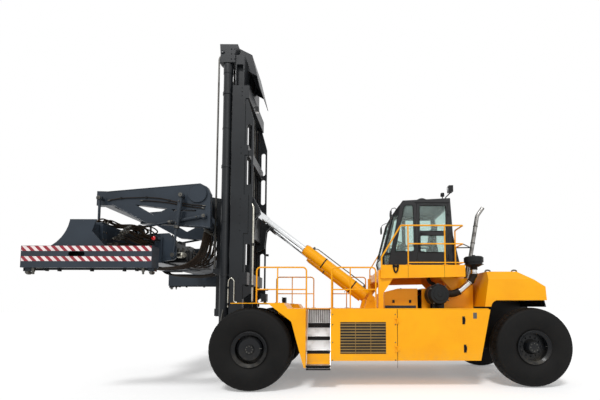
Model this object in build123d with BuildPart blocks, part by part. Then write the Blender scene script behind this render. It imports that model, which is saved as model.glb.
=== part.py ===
from math import cos, hypot, radians, sin
import os

from build123d import *

os.makedirs("parts", exist_ok=True)

# Top-lift container handler. Millimetres. It faces -X, its left side is -Y, and it stands on Z = 0.

# Wheels and axles
TYRE_RADIUS = 875
TYRE_WIDTH = 500
# Places on the shoulder, from the tread to the wall: inset from the widest place and depth below the crown
TYRE_SHOULDER = ((75, 22), (34, 55), (22, 105))
TYRE_BULGE_DEPTH = 280
RIM_SEAT_RADIUS = 330
RIM_FLANGE_RADIUS = 375
RIM_WIDTH = 420
RIM_WALL = 25
TYRE_SEAT_GAP = 0.4
DRIVE_AXLE_X = -1570
STEER_AXLE_X = 4610
TWIN_OUTER_Y = 1800
TWIN_GAP = 70
STEER_TYRE_Y = 1450
HUB_RADIUS = 262
HUB_CAP_Y = 1985
AXLE_BANJO_RADIUS = 235
AXLE_ARM_RADIUS = 160
SPINDLE_RADIUS = 110
BEARING_GAP = 0.5
KINGPIN_Y = 1050
KINGPIN_RADIUS = 45
KNUCKLE_RADIUS = 88
KNUCKLE_HALF_HEIGHT = 95
STEER_EAR_THICKNESS = 90
STEER_BEAM_WIDTH = 300
STEER_SPINDLE_RADIUS = 75

# Frame
FRAME_INNER_Y = 480
FRAME_OUTER_Y = 680
FRAME_BOTTOM_Z = 780
FRAME_TOP_Z = 1500
FRAME_FRONT_X = -1780
FRAME_REAR_X = 3450
SPINE_HALF_WIDTH = 380
SPINE_REAR_X = 5150
TRUNNION_RADIUS = 60
MAST_PIVOT_X = -1880
MAST_PIVOT_Z = 700
MAST_PIN_RADIUS = 60
EAR_RADIUS = 112
TOW_PIN_RADIUS = 30
FLAP_CLEARANCE = 15

# Deck, side boxes, fenders and steps
DECK_Z = 1730
DECK_THICKNESS = 20
DECK_FRONT_X, DECK_REAR_X = -1180, 3570
BOX_BOTTOM_Z = 604
BOX_OUTER_Y = 1750
BOX_FRONT_X = 128
DOOR_FRONT_X = 1574
BOX_REAR_TOP_X = 3612
BOX_REAR_BOTTOM_X = 3380
BOX_WALL = 20
PANEL_THICKNESS = 25
DOOR_GAP = 8
HINGE_PIN_RADIUS = 8
HINGE_HALF = 40
HINGE_RUNNING_GAP = 0.2
GRILLE_X0, GRILLE_X1 = 337, 1324
GRILLE_Z0, GRILLE_Z1 = 757, 1436
LOUVRE_COUNT = 10
GRILLE_BAYS = 3
GRILLE_BAR = 34
FENDER_OUTER_Y = 1950
FENDER_INNER_Y = 985
FENDER_TOP_Z = 1850
FENDER_SKIN = 15
STEP_FRONT_X = -397
STEP_DEPTH = 250
STEP_RISE = 292
STEP_COUNT = 4

# Bonnet, engine and counterweight
BONNET_HALF_WIDTH = 950
BONNET_FRONT_X = 1400
BONNET_REAR_X = 3540
BONNET_TOP_Z = 2205
BONNET_BACK_TOP_Z = 2450
BONNET_SKIN = 20
BONNET_SPLIT_X0, BONNET_SPLIT_X1 = 2200, 2300
WEIGHT_HALF_WIDTH = 1550
WEIGHT_TOP_Z = 2574
WEIGHT_FRONT_BOTTOM_Z = 1771
ARCH_TOP_Z = 1914

# Cab and its stand
STAND_HALF_WIDTH = 1450
STAND_FLOOR_Z = 2720
STAND_REAR_X = 3190
STAND_FRONT_X = 1212
LEG_OUTER_Y = 1400
LEG_THICKNESS = 110
CAB_HALF_WIDTH = 780
CAB_WALL = 50
GLASS_THICKNESS = 8
GLASS_INSET = 18
RAIL_RADIUS = 18
DECK_RAIL_Y = 1400
DECK_RAIL_TOP_Z = 2665
CAB_RAIL_INSET = 25
CAB_RAIL_Y = STAND_HALF_WIDTH - CAB_RAIL_INSET
CAB_RAIL_TOP_Z = 3636
CAB_MID_RAIL_Z = 3210

# Tilt cylinders
TILT_Y = 740
TILT_FRAME_X, TILT_FRAME_Z = 1096, 1950
TILT_MAST_X, TILT_MAST_Z = -1709, 4093
TILT_BARREL_RADIUS = 140
TILT_BORE_RADIUS = 105
TILT_ROD_RADIUS = 68
TILT_BARREL_END = 2000
TILT_ROD_START = 900
TILT_PIN_RADIUS = 45
TILT_EYE_DRIFT = 14
TILT_EYE_HALF_WIDTH = 50
TILT_EAR_THICKNESS = 40

# Mast
UPRIGHT_FRONT_X, UPRIGHT_REAR_X = -2330, -2010
OUTER_MAST_Y = 920
OUTER_FLANGE_Y = 760
OUTER_WEB = 30
OUTER_FLANGE = 40
OUTER_BOTTOM_Z, OUTER_TOP_Z = 330, 7277
INNER_WEB_Y = 755
INNER_WEB = 30
INNER_FLANGE_Y0, INNER_FLANGE_Y1 = 650, 880
INNER_FLANGE = 30
MAST_SLIDE_GAP = 8
INNER_BOTTOM_Z, INNER_TOP_Z = 420, 7850
BACKBONE_REAR_X = -1800
LIFT_X, LIFT_Y = -2480, 800
LIFT_BARREL_RADIUS = 112
LIFT_BORE_RADIUS = 90
LIFT_ROD_RADIUS = 70
LIFT_GLAND_HEIGHT = 240
LIFT_STROKE = 4850
CROSSHEAD_RISE = 500
SHEAVE_RISE = 300
SHEAVE_RADIUS = 185
CHAIN_Y = 560
CHAIN_X = -2800
CHAIN_WIDTH = 56
CHAIN_THICKNESS = 30
CHAIN_ANCHOR_Z = 2707

# Carriage, arms and spreader
CARRIAGE_PLATE_Y = 600
CARRIAGE_PLATE = 40
CARRIAGE_BOTTOM_Z, ROLLER_PLATE_TOP_Z = 1500, 2950
CARRIAGE_FRONT_X = -2640
CARRIAGE_BEAM = 120
CARRIER_Y0, CARRIER_Y1 = 240, 300
ROLLER_WIDTH = 95
SHAFT_X, SHAFT_Z = -3080, 4483
SHAFT_RADIUS = 110
ARM_INNER_Y, ARM_OUTER_Y = 900, 1050
ARM_TIP_X = -5485
HANGER_Y = 1190
FRONT_HANGER = ((-5325, 4325), (-5320, 3330))
REAR_HANGER = ((-3420, 4400), (-3570, 2975))
FRONT_HANGER_PIN, REAR_HANGER_PIN = 32, 36
SLOPE_CYLINDER_Y = 1095
SLOPE_CYLINDER = ((-2905, 3925), (-4400, 3645))
SLOPE_PIN = 30
SPREADER_X = -4295
TWISTLOCK_PITCH_X = 2259
TWISTLOCK_Y = 2926.5
END_BEAM_LENGTH = 2370
END_BEAM_HALF_WIDTH = 130
END_BEAM_BOTTOM_Z, END_BEAM_TOP_Z = 2480, 2880
END_BEAM_WALL = 25
END_CAP = 12
TELESCOPE_STROKE = 3066
MAIN_HALF_LENGTH = 2600
CLOSED_END_Y = 1200
CHANNEL_WIDTH = 430
CHANNEL_GAP = 80
CHANNEL_BOTTOM_Z, CHANNEL_TOP_Z = 2790, 3400
CHANNEL_WALL = 30
TELESCOPE_GAP = 12
SLIDE_GAP = 0.3
TELESCOPE_WALL = 25
TELESCOPE_OVERLAP = 520
TWISTLOCK_RADIUS = 28
TWISTLOCK_BOTTOM_Z = 2362

# Sizes that follow from those above
SIDE_HINGE_X, SIDE_HINGE_Y = DOOR_FRONT_X + DOOR_GAP / 2, -BOX_OUTER_Y - 18
SIDE_HINGE_Z = (860, 1460)
TWIN_INNER_Y = TWIN_OUTER_Y - TYRE_WIDTH - TWIN_GAP
AXLE_Z = TYRE_RADIUS
FLAP_BOTTOM_Z = 2 * TYRE_RADIUS + FLAP_CLEARANCE
DECK_UNDER_Z = DECK_Z - DECK_THICKNESS
TILT_LENGTH = hypot(TILT_MAST_X - TILT_FRAME_X, TILT_MAST_Z - TILT_FRAME_Z)
INNER_FRONT_X = UPRIGHT_FRONT_X + OUTER_FLANGE + MAST_SLIDE_GAP
INNER_REAR_X = UPRIGHT_REAR_X - OUTER_FLANGE - MAST_SLIDE_GAP
ROLLER_X = (INNER_FRONT_X + INNER_REAR_X) / 2
ROLLER_RADIUS = (INNER_REAR_X - INNER_FRONT_X) / 2 - INNER_FLANGE - 5
FRONT_CHANNEL_X = SPREADER_X - (CHANNEL_WIDTH + CHANNEL_GAP) / 2
REAR_CHANNEL_X = SPREADER_X + (CHANNEL_WIDTH + CHANNEL_GAP) / 2
SHEAVE_X = CHAIN_X + CHAIN_THICKNESS / 2 + SHEAVE_RADIUS
SHEAVE_Z = INNER_TOP_Z + SHEAVE_RISE
CROSSHEAD_TOP_Z = INNER_TOP_Z + CROSSHEAD_RISE
LIFT_GLAND_TOP_Z = INNER_TOP_Z + 10
LIFT_BARREL_TOP_Z = LIFT_GLAND_TOP_Z - LIFT_GLAND_HEIGHT
REAR_STRAND_END_Z = OUTER_TOP_Z - 60 - LIFT_STROKE
CARRIER_FRONT_X = CARRIAGE_FRONT_X - 205
TELESCOPE_INNER_Y = MAIN_HALF_LENGTH - TELESCOPE_OVERLAP - TELESCOPE_STROKE
TILT_DIRECTION = Vector(
    (TILT_MAST_X - TILT_FRAME_X) / TILT_LENGTH, 0, (TILT_MAST_Z - TILT_FRAME_Z) / TILT_LENGTH
)

SIDES = (("left", -1), ("right", 1))


def save(part, name):
    """Labels a finished piece and writes it as parts/NAME.step."""
    part.label = name
    export_step(part, f"parts/{name}.step")


def save_both(part, name):
    """Writes a piece built for the left side and its mirror image together."""
    save(Compound(children=[*part.solids(), *mirror(part, about=Plane.XZ).solids()]), name)


def save_sides(part, name):
    """Writes a piece built for the left side, and its mirror image for the right."""
    save(part, f"{name}_left")
    save(mirror(part, about=Plane.XZ), f"{name}_right")


def block(x, y, z, mode=Mode.ADD):
    """A box between the two X, two Y and two Z values given."""
    centre = [(pair[0] + pair[1]) / 2 for pair in (x, y, z)]
    size = [abs(pair[1] - pair[0]) for pair in (x, y, z)]
    with Locations(tuple(centre)):
        Box(*size, mode=mode)


def side_profile(points, y0, y1, mode=Mode.ADD):
    """A straight-sided outline of (X, Z) points, extruded from y0 to y1."""
    with BuildSketch(Plane.XZ.offset(-y0)) as outline:
        with BuildLine():
            Polyline(*points, close=True)
        make_face()
    extrude(outline.sketch, amount=y0 - y1, mode=mode)


def rod(start, end, radius, mode=Mode.ADD):
    """A round bar from start to end."""
    a, b = Vector(*start), Vector(*end)
    with BuildSketch(Plane(origin=a, z_dir=b - a)) as section:
        Circle(radius)
    extrude(section.sketch, amount=(b - a).length, mode=mode)


def tube_path(points, radius, bend, mode=Mode.ADD):
    """A round bar along straight runs that are joined by bends of one radius."""
    with BuildLine() as path:
        FilletPolyline(*points, radius=bend)
    with BuildSketch(Plane(origin=path.line @ 0, z_dir=path.line % 0)) as section:
        Circle(radius)
    sweep(section.sketch, path=path.line, mode=mode)


def spun(points, x, side, mode=Mode.ADD):
    """A straight-sided outline of (distance out from the middle, radius) points, turned about an axle."""
    with BuildSketch(Plane.YZ.offset(x)) as outline:
        with BuildLine():
            Polyline(*[(side * y, AXLE_Z + r) for y, r in points], close=True)
        make_face()
    revolve(outline.sketch, axis=Axis((x, 0, AXLE_Z), (0, 1, 0)), mode=mode)


def tyre(x, y):
    """A tyre: a crowned tread, round shoulders and bulging walls down to the rim flanges."""
    half = TYRE_WIDTH / 2
    bead = RIM_WIDTH / 2 - 30 - TYRE_SEAT_GAP
    seat = AXLE_Z + RIM_SEAT_RADIUS + TYRE_SEAT_GAP
    flange = AXLE_Z + RIM_FLANGE_RADIUS + 4
    crown = AXLE_Z + TYRE_RADIUS
    with BuildSketch(Plane.YZ.offset(x)) as outline:
        with BuildLine():
            treads = []
            for side in (-1, 1):
                bulge = (y + side * half, crown - TYRE_BULGE_DEPTH)
                shoulder = [(y + side * (half - inset), crown - depth) for inset, depth in TYRE_SHOULDER]
                tread, middle, wall = shoulder
                Line((y + side * bead, seat), (y + side * bead, flange))
                ThreePointArc((y + side * bead, flange), bulge, wall)
                ThreePointArc(wall, middle, tread)
                treads.append(tread)
            ThreePointArc(treads[0], (y, crown), treads[1])
            Line((y + bead, seat), (y - bead, seat))
        make_face()
    revolve(outline.sketch, axis=Axis((x, 0, AXLE_Z), (0, 1, 0)))


def rim(x, side, y, disc_y, hub_radius):
    """A wheel rim: its barrel and two flanges, and a disc from the barrel in to the hub."""
    inner, outer = y - RIM_WIDTH / 2, y + RIM_WIDTH / 2
    spun(
        [
            (inner, RIM_FLANGE_RADIUS),
            (inner + 30, RIM_FLANGE_RADIUS),
            (inner + 30, RIM_SEAT_RADIUS),
            (outer - 30, RIM_SEAT_RADIUS),
            (outer - 30, RIM_FLANGE_RADIUS),
            (outer, RIM_FLANGE_RADIUS),
            (outer, RIM_FLANGE_RADIUS - 18),
            (outer - 40, RIM_SEAT_RADIUS - RIM_WALL),
            (inner + 40, RIM_SEAT_RADIUS - RIM_WALL),
            (inner, RIM_FLANGE_RADIUS - 18),
        ],
        x,
        side,
    )
    spun(
        [
            (disc_y, RIM_SEAT_RADIUS - RIM_WALL + 5),
            (disc_y + 30, RIM_SEAT_RADIUS - RIM_WALL + 5),
            (disc_y + 30, hub_radius - 5),
            (disc_y, hub_radius - 5),
        ],
        x,
        side,
    )


def hinge_pin(x, y, z, brace_x, brace_y):
    """One hinge's pin, held above and below the door's sleeve by two lugs that reach the fixed panel."""
    rod((x, y, z - HINGE_HALF - 22), (x, y, z + HINGE_HALF + 22), HINGE_PIN_RADIUS)
    for low in (z - HINGE_HALF - 21, z + HINGE_HALF + 1):
        block(sorted((x, brace_x)), sorted((y - HINGE_PIN_RADIUS, brace_y)), (low, low + 20))


def hinge_sleeve(x, y, z, brace_x, brace_y):
    """One hinge's sleeve round the pin, with a strap that reaches the door's leaf."""
    rod((x, y, z - HINGE_HALF), (x, y, z + HINGE_HALF), HINGE_PIN_RADIUS + 8)
    block(sorted((x, brace_x)), sorted((y - 6, brace_y)), (z - HINGE_HALF + 4, z + HINGE_HALF - 4))
    rod(
        (x, y, z - HINGE_HALF - 1),
        (x, y, z + HINGE_HALF + 1),
        HINGE_PIN_RADIUS + HINGE_RUNNING_GAP,
        Mode.SUBTRACT,
    )


def wheel_studs(x, side, y, circle_radius, count, length):
    """A ring of wheel nuts that stand out of a disc."""
    for index in range(count):
        angle = radians(360 * index / count)
        place = (x + circle_radius * cos(angle), AXLE_Z + circle_radius * sin(angle))
        rod((place[0], side * y, place[1]), (place[0], side * (y + length), place[1]), 17)


# Drive wheels: twin tyres on one hub
for name, side in SIDES:
    with BuildPart() as drive_tyres:
        tyre(DRIVE_AXLE_X, side * TWIN_OUTER_Y)
        tyre(DRIVE_AXLE_X, side * TWIN_INNER_Y)
    save(drive_tyres.part, f"drive_tyres_{name}")

    with BuildPart() as drive_rims:
        rim(DRIVE_AXLE_X, side, TWIN_OUTER_Y, TWIN_OUTER_Y - 40, HUB_RADIUS)
        rim(DRIVE_AXLE_X, side, TWIN_INNER_Y, TWIN_INNER_Y + 10, HUB_RADIUS)
        hub_start = FENDER_INNER_Y + 25
        spun(
            [
                (hub_start, SPINDLE_RADIUS + BEARING_GAP),
                (hub_start, HUB_RADIUS),
                (HUB_CAP_Y - 60, HUB_RADIUS),
                (HUB_CAP_Y - 25, HUB_RADIUS - 35),
                (HUB_CAP_Y - 25, 105),
                (HUB_CAP_Y, 95),
                (HUB_CAP_Y, 0),
                (hub_start + 330, 0),
                (hub_start + 330, SPINDLE_RADIUS + BEARING_GAP),
            ],
            DRIVE_AXLE_X,
            side,
        )
        wheel_studs(DRIVE_AXLE_X, side, TWIN_OUTER_Y - 10, HUB_RADIUS + 22, 20, 26)
    save(drive_rims.part, f"drive_rims_{name}")

# Steered wheels: single tyres on a spindle
for name, side in SIDES:
    with BuildPart() as steer_tyre:
        tyre(STEER_AXLE_X, side * STEER_TYRE_Y)
    save(steer_tyre.part, f"steer_tyre_{name}")

    with BuildPart() as steer_rim:
        steer_disc_y = STEER_TYRE_Y + 10
        rim(STEER_AXLE_X, side, STEER_TYRE_Y, steer_disc_y, 150)
        spun(
            [
                (STEER_TYRE_Y - 230, STEER_SPINDLE_RADIUS + BEARING_GAP),
                (STEER_TYRE_Y - 230, 170),
                (steer_disc_y + 40, 170),
                (steer_disc_y + 120, 150),
                (steer_disc_y + 170, 120),
                (steer_disc_y + 170, 0),
                (STEER_TYRE_Y + 20, 0),
                (STEER_TYRE_Y + 20, STEER_SPINDLE_RADIUS + BEARING_GAP),
            ],
            STEER_AXLE_X,
            side,
        )
        wheel_studs(STEER_AXLE_X, side, steer_disc_y + 30, 215, 12, 30)
    save(steer_rim.part, f"steer_rim_{name}")

# Steering knuckles: kingpin, spindle and steering arm
with BuildPart() as knuckle:
    kingpin_half = KNUCKLE_HALF_HEIGHT + STEER_EAR_THICKNESS + 20
    kingpin = (STEER_AXLE_X, -KINGPIN_Y)
    rod((*kingpin, AXLE_Z - kingpin_half), (*kingpin, AXLE_Z + kingpin_half), KINGPIN_RADIUS)
    rod((*kingpin, AXLE_Z - KNUCKLE_HALF_HEIGHT), (*kingpin, AXLE_Z + KNUCKLE_HALF_HEIGHT), KNUCKLE_RADIUS)
    spun(
        [
            (KINGPIN_Y, 0),
            (KINGPIN_Y, STEER_SPINDLE_RADIUS),
            (STEER_TYRE_Y - 270, STEER_SPINDLE_RADIUS),
            (STEER_TYRE_Y - 270, 130),
            (STEER_TYRE_Y - 245, 130),
            (STEER_TYRE_Y - 245, STEER_SPINDLE_RADIUS),
            (STEER_TYRE_Y, STEER_SPINDLE_RADIUS - 5),
            (STEER_TYRE_Y, 0),
        ],
        STEER_AXLE_X,
        -1,
    )
    block(
        (STEER_AXLE_X, STEER_AXLE_X + 130),
        (-KINGPIN_Y - 35, -KINGPIN_Y + 35),
        (AXLE_Z - 80, AXLE_Z - 40),
    )
save_sides(knuckle.part, "steer_knuckle")

# Steer axle: box beam with forked ends, trunnions fore and aft, and the steering cylinder
with BuildPart() as steer_axle:
    beam_end_y = KINGPIN_Y - KNUCKLE_RADIUS - 75
    fork_z = KNUCKLE_HALF_HEIGHT + STEER_EAR_THICKNESS + 1
    block(
        (STEER_AXLE_X - STEER_BEAM_WIDTH / 2, STEER_AXLE_X + STEER_BEAM_WIDTH / 2),
        (-beam_end_y, beam_end_y),
        (AXLE_Z - 130, AXLE_Z + 130),
    )
    for side in (-1, 1):
        for low in (AXLE_Z - fork_z, AXLE_Z + KNUCKLE_HALF_HEIGHT + 1):
            block(
                (STEER_AXLE_X - 90, STEER_AXLE_X + 90),
                sorted((side * (beam_end_y - 260), side * KINGPIN_Y)),
                (low, low + STEER_EAR_THICKNESS),
            )
            eye_place = (STEER_AXLE_X, side * KINGPIN_Y)
            rod((*eye_place, low), (*eye_place, low + STEER_EAR_THICKNESS), 90)
        rod(
            (STEER_AXLE_X, side * KINGPIN_Y, AXLE_Z - 300),
            (STEER_AXLE_X, side * KINGPIN_Y, AXLE_Z + 300),
            KINGPIN_RADIUS + BEARING_GAP,
            Mode.SUBTRACT,
        )
    rod((STEER_AXLE_X - 350, 0, AXLE_Z), (STEER_AXLE_X + 350, 0, AXLE_Z), TRUNNION_RADIUS)
    rod((STEER_AXLE_X + 190, -560, AXLE_Z - 200), (STEER_AXLE_X + 190, 560, AXLE_Z - 200), 62)
    rod((STEER_AXLE_X + 190, -760, AXLE_Z - 200), (STEER_AXLE_X + 190, 760, AXLE_Z - 200), 28)
    for side in (-1, 1):
        block(
            (STEER_AXLE_X + 60, STEER_AXLE_X + 250),
            sorted((side * 440, side * 500)),
            (AXLE_Z - 265, AXLE_Z - 100),
        )
save(steer_axle.part, "steer_axle")

# Drive axle: banjo housing, arms and spindles
with BuildPart() as drive_axle:
    for side in (-1, 1):
        spun(
            [
                (0, 0),
                (0, AXLE_BANJO_RADIUS),
                (250, AXLE_BANJO_RADIUS),
                (FRAME_INNER_Y - 40, AXLE_ARM_RADIUS),
                (FENDER_INNER_Y, AXLE_ARM_RADIUS),
                (FENDER_INNER_Y, SPINDLE_RADIUS),
                (FENDER_INNER_Y + 340, SPINDLE_RADIUS),
                (FENDER_INNER_Y + 340, 0),
            ],
            DRIVE_AXLE_X,
            side,
        )
    rod((DRIVE_AXLE_X, 0, AXLE_Z), (DRIVE_AXLE_X + 420, 0, AXLE_Z + 20), 150)
save(drive_axle.part, "drive_axle")

# Chassis: two box beams, cross members, mast ears over the drive axle and the rear spine
with BuildPart() as chassis:
    for side in (-1, 1):
        side_profile(
            [
                (FRAME_FRONT_X, FRAME_TOP_Z),
                (FRAME_REAR_X, FRAME_TOP_Z),
                (FRAME_REAR_X, FRAME_BOTTOM_Z),
                (DRIVE_AXLE_X + 290, FRAME_BOTTOM_Z),
                (DRIVE_AXLE_X + 290, AXLE_Z + 265),
                (FRAME_FRONT_X, AXLE_Z + 265),
            ],
            *sorted((side * FRAME_INNER_Y, side * FRAME_OUTER_Y)),
        )
        for inner_y in (FRAME_OUTER_Y - 40, FRAME_OUTER_Y + 85):
            outer_y = inner_y + 55
            with BuildSketch(Plane.XZ.offset(-min(side * inner_y, side * outer_y))):
                with BuildSketch(mode=Mode.PRIVATE) as ear_circles:
                    with Locations((MAST_PIVOT_X, MAST_PIVOT_Z)):
                        Circle(EAR_RADIUS)
                    with Locations((DRIVE_AXLE_X, AXLE_Z)):
                        Circle(AXLE_ARM_RADIUS + 90)
                make_hull(ear_circles.sketch.edges())
                with Locations((DRIVE_AXLE_X + 20, AXLE_Z + 250)):
                    Rectangle(480, 500)
                with Locations((DRIVE_AXLE_X, AXLE_Z)):
                    Circle(AXLE_ARM_RADIUS, mode=Mode.SUBTRACT)
            extrude(amount=-(outer_y - inner_y))
        block(
            (DRIVE_AXLE_X - 200, DRIVE_AXLE_X + 260),
            sorted((side * FRAME_OUTER_Y, side * (FRAME_OUTER_Y + 140))),
            (AXLE_Z + 300, AXLE_Z + 500),
        )
        rod(
            (MAST_PIVOT_X, side * (FRAME_OUTER_Y - 60), MAST_PIVOT_Z),
            (MAST_PIVOT_X, side * (FRAME_OUTER_Y + 160), MAST_PIVOT_Z),
            MAST_PIN_RADIUS,
        )
    for x0, x1, z0, z1 in (
        (-1290, -1100, 1140, FRAME_TOP_Z),
        (200, 400, FRAME_BOTTOM_Z, FRAME_TOP_Z),
        (1500, 1750, FRAME_BOTTOM_Z, 1000),
        (2900, 3150, FRAME_BOTTOM_Z, 1000),
        (FRAME_REAR_X - 60, FRAME_REAR_X, FRAME_BOTTOM_Z, FRAME_TOP_Z),
    ):
        block((x0, x1), (-FRAME_INNER_Y, FRAME_INNER_Y), (z0, z1))
    axle_room = STEER_BEAM_WIDTH / 2 + 130
    side_profile(
        [
            (FRAME_REAR_X - 60, FRAME_BOTTOM_Z),
            (STEER_AXLE_X - axle_room, 700),
            (STEER_AXLE_X - axle_room, AXLE_Z + 200),
            (STEER_AXLE_X + axle_room, AXLE_Z + 200),
            (STEER_AXLE_X + axle_room, 620),
            (SPINE_REAR_X, 620),
            (SPINE_REAR_X, ARCH_TOP_Z),
            (3875, ARCH_TOP_Z),
            (3875, WEIGHT_FRONT_BOTTOM_Z),
            (DECK_REAR_X + 5, WEIGHT_FRONT_BOTTOM_Z),
            (DECK_REAR_X + 5, DECK_UNDER_Z),
            (FRAME_REAR_X - 60, DECK_UNDER_Z),
        ],
        -SPINE_HALF_WIDTH,
        SPINE_HALF_WIDTH,
    )
    rod(
        (STEER_AXLE_X - 350, 0, AXLE_Z),
        (STEER_AXLE_X + 350, 0, AXLE_Z),
        TRUNNION_RADIUS,
        Mode.SUBTRACT,
    )
    # Rear flap under the counterweight
    for side in (-1, 1):
        side_profile(
            [(4950, ARCH_TOP_Z), (4976, ARCH_TOP_Z), (5012, FLAP_BOTTOM_Z), (4987, FLAP_BOTTOM_Z)],
            *sorted((side * SPINE_HALF_WIDTH, side * 1450)),
        )
    # Tow coupling: two jaws with a vertical pin hole
    for z0 in (900, 1060):
        block((SPINE_REAR_X, SPINE_REAR_X + 190), (-110, 110), (z0, z0 + 50))
    tow_hole = (SPINE_REAR_X + 110, 0)
    rod((*tow_hole, 880), (*tow_hole, 1130), TOW_PIN_RADIUS, Mode.SUBTRACT)
save(chassis.part, "chassis")

# Deck: floor plate round the engine bay, on ribs that stand on the frame
with BuildPart() as deck:
    with BuildSketch(Plane.XY.offset(DECK_UNDER_Z)):
        for x0, half_width in (
            (DECK_FRONT_X, FENDER_INNER_Y),
            (STEP_FRONT_X, BOX_OUTER_Y - 500),
            (BOX_FRONT_X, BOX_OUTER_Y),
        ):
            with Locations(((x0 + DECK_REAR_X) / 2, 0)):
                Rectangle(DECK_REAR_X - x0, 2 * half_width)
        bay_front, bay_rear = BONNET_FRONT_X + 60, FRAME_REAR_X - 80
        with Locations(((bay_front + bay_rear) / 2, 0)):
            Rectangle(bay_rear - bay_front, 2 * BONNET_HALF_WIDTH - 120, mode=Mode.SUBTRACT)
    extrude(amount=DECK_THICKNESS)
    for side in (-1, 1):
        rib = sorted((side * 600, side * FRAME_OUTER_Y))
        block((DECK_FRONT_X, bay_rear - 40), rib, (FRAME_TOP_Z, DECK_UNDER_Z))
        # Ears for the tilt cylinders
        for gap_side in (-1, 1):
            near = side * TILT_Y + gap_side * (TILT_EYE_HALF_WIDTH + 5)
            far = side * TILT_Y + gap_side * (TILT_EYE_HALF_WIDTH + 5 + TILT_EAR_THICKNESS)
            side_profile(
                [(930, DECK_Z), (1200, DECK_Z), (1190, 2000), (1130, 2050), (1060, 2050), (1000, 1990)],
                *sorted((near, far)),
            )
        reach = TILT_EYE_HALF_WIDTH + TILT_EAR_THICKNESS + 25
        rod(
            (TILT_FRAME_X, side * TILT_Y - reach, TILT_FRAME_Z),
            (TILT_FRAME_X, side * TILT_Y + reach, TILT_FRAME_Z),
            TILT_PIN_RADIUS,
        )
save(deck.part, "deck")

# Front fenders: arch plate over the twin wheels and the box behind them
ARCH_LINE = [(-1195, 0), (-702, -380), (-557, -907), (-434, -1348)]
with BuildPart() as left_fender:
    arch = [(x, FENDER_TOP_Z - FENDER_SKIN + z) for x, z in ARCH_LINE]
    side_profile(
        [
            (-1990, FENDER_TOP_Z - FENDER_SKIN),
            *arch,
            (STEP_FRONT_X, arch[-1][1]),
            (STEP_FRONT_X, DECK_Z),
            (-780, DECK_Z),
            (-864, FENDER_TOP_Z),
            (-1990, FENDER_TOP_Z),
        ],
        -FENDER_OUTER_Y,
        -FENDER_INNER_Y,
    )
    side_profile(
        [
            (-690, DECK_UNDER_Z),
            (-690, 1400),
            (-540, FRAME_BOTTOM_Z),
            (STEP_FRONT_X, FRAME_BOTTOM_Z),
            (STEP_FRONT_X, DECK_UNDER_Z),
        ],
        -FENDER_INNER_Y,
        -FRAME_OUTER_Y,
    )
    # Hollow behind the outer skin, open underneath
    side_profile(
        [(-690, DECK_Z - 20), (-640, 1400), (-500, 880), (-445, 480), (-417, 480), (-417, DECK_Z - 20)],
        -FENDER_OUTER_Y + 20,
        -FENDER_INNER_Y - 20,
        Mode.SUBTRACT,
    )
save_both(left_fender.part, "fenders")

# Steps between the fender and the side box
with BuildPart() as left_steps:
    step_x = (STEP_FRONT_X + 1, BOX_FRONT_X - 1)
    for index in range(STEP_COUNT):
        top = DECK_Z - 40 - STEP_RISE * (index + 1)
        outer = -BOX_OUTER_Y + 500 - 150 * (index + 1)
        block(step_x, (outer, outer + STEP_DEPTH), (top - 30, top))
        block(step_x, (outer + STEP_DEPTH - 12, outer + STEP_DEPTH), (top - 30, top + STEP_RISE))
    stringer = [
        (-BOX_OUTER_Y + 500 - 30, DECK_UNDER_Z),
        (-BOX_OUTER_Y + 500 - 150 * STEP_COUNT - 10, DECK_Z - 40 - STEP_RISE * STEP_COUNT - 50),
        (-BOX_OUTER_Y + 500 - 150 * STEP_COUNT + 250, DECK_Z - 40 - STEP_RISE * STEP_COUNT - 50),
        (-BOX_OUTER_Y + 500 + 110, DECK_UNDER_Z),
    ]
    for x0 in (step_x[0], step_x[1] - 12):
        with BuildSketch(Plane.YZ.offset(x0)):
            with BuildLine():
                Polyline(*stringer, close=True)
            make_face()
        extrude(amount=12)
save_both(left_steps.part, "steps")

# Side boxes: hollow, closed by a louvred panel in front and a door behind
with BuildPart() as left_box:
    box_outline = [
        (BOX_FRONT_X, BOX_BOTTOM_Z),
        (BOX_REAR_BOTTOM_X, BOX_BOTTOM_Z),
        (BOX_REAR_TOP_X, DECK_UNDER_Z),
        (BOX_FRONT_X, DECK_UNDER_Z),
    ]
    side_profile(box_outline, -BOX_OUTER_Y, -FRAME_OUTER_Y)
    side_profile(
        [
            (BOX_FRONT_X + BOX_WALL, BOX_BOTTOM_Z + BOX_WALL),
            (DOOR_FRONT_X - BOX_WALL, BOX_BOTTOM_Z + BOX_WALL),
            (DOOR_FRONT_X - BOX_WALL, DECK_UNDER_Z - BOX_WALL),
            (BOX_FRONT_X + BOX_WALL, DECK_UNDER_Z - BOX_WALL),
        ],
        -BOX_OUTER_Y,
        -FRAME_OUTER_Y - BOX_WALL,
        Mode.SUBTRACT,
    )
    side_profile(
        [
            (DOOR_FRONT_X + BOX_WALL, BOX_BOTTOM_Z + BOX_WALL),
            (BOX_REAR_BOTTOM_X - BOX_WALL, BOX_BOTTOM_Z + BOX_WALL),
            (BOX_REAR_TOP_X - 1.4 * BOX_WALL, DECK_UNDER_Z - BOX_WALL),
            (DOOR_FRONT_X + BOX_WALL, DECK_UNDER_Z - BOX_WALL),
        ],
        -BOX_OUTER_Y,
        -FRAME_OUTER_Y - BOX_WALL,
        Mode.SUBTRACT,
    )
    # The panel and the door lie flush in a step round the openings
    side_profile(
        [
            (BOX_FRONT_X, BOX_BOTTOM_Z),
            (BOX_REAR_BOTTOM_X, BOX_BOTTOM_Z),
            (BOX_REAR_TOP_X, DECK_UNDER_Z),
            (BOX_FRONT_X, DECK_UNDER_Z),
        ],
        -BOX_OUTER_Y,
        -BOX_OUTER_Y + PANEL_THICKNESS,
        Mode.SUBTRACT,
    )
save_both(left_box.part, "side_boxes")

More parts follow.
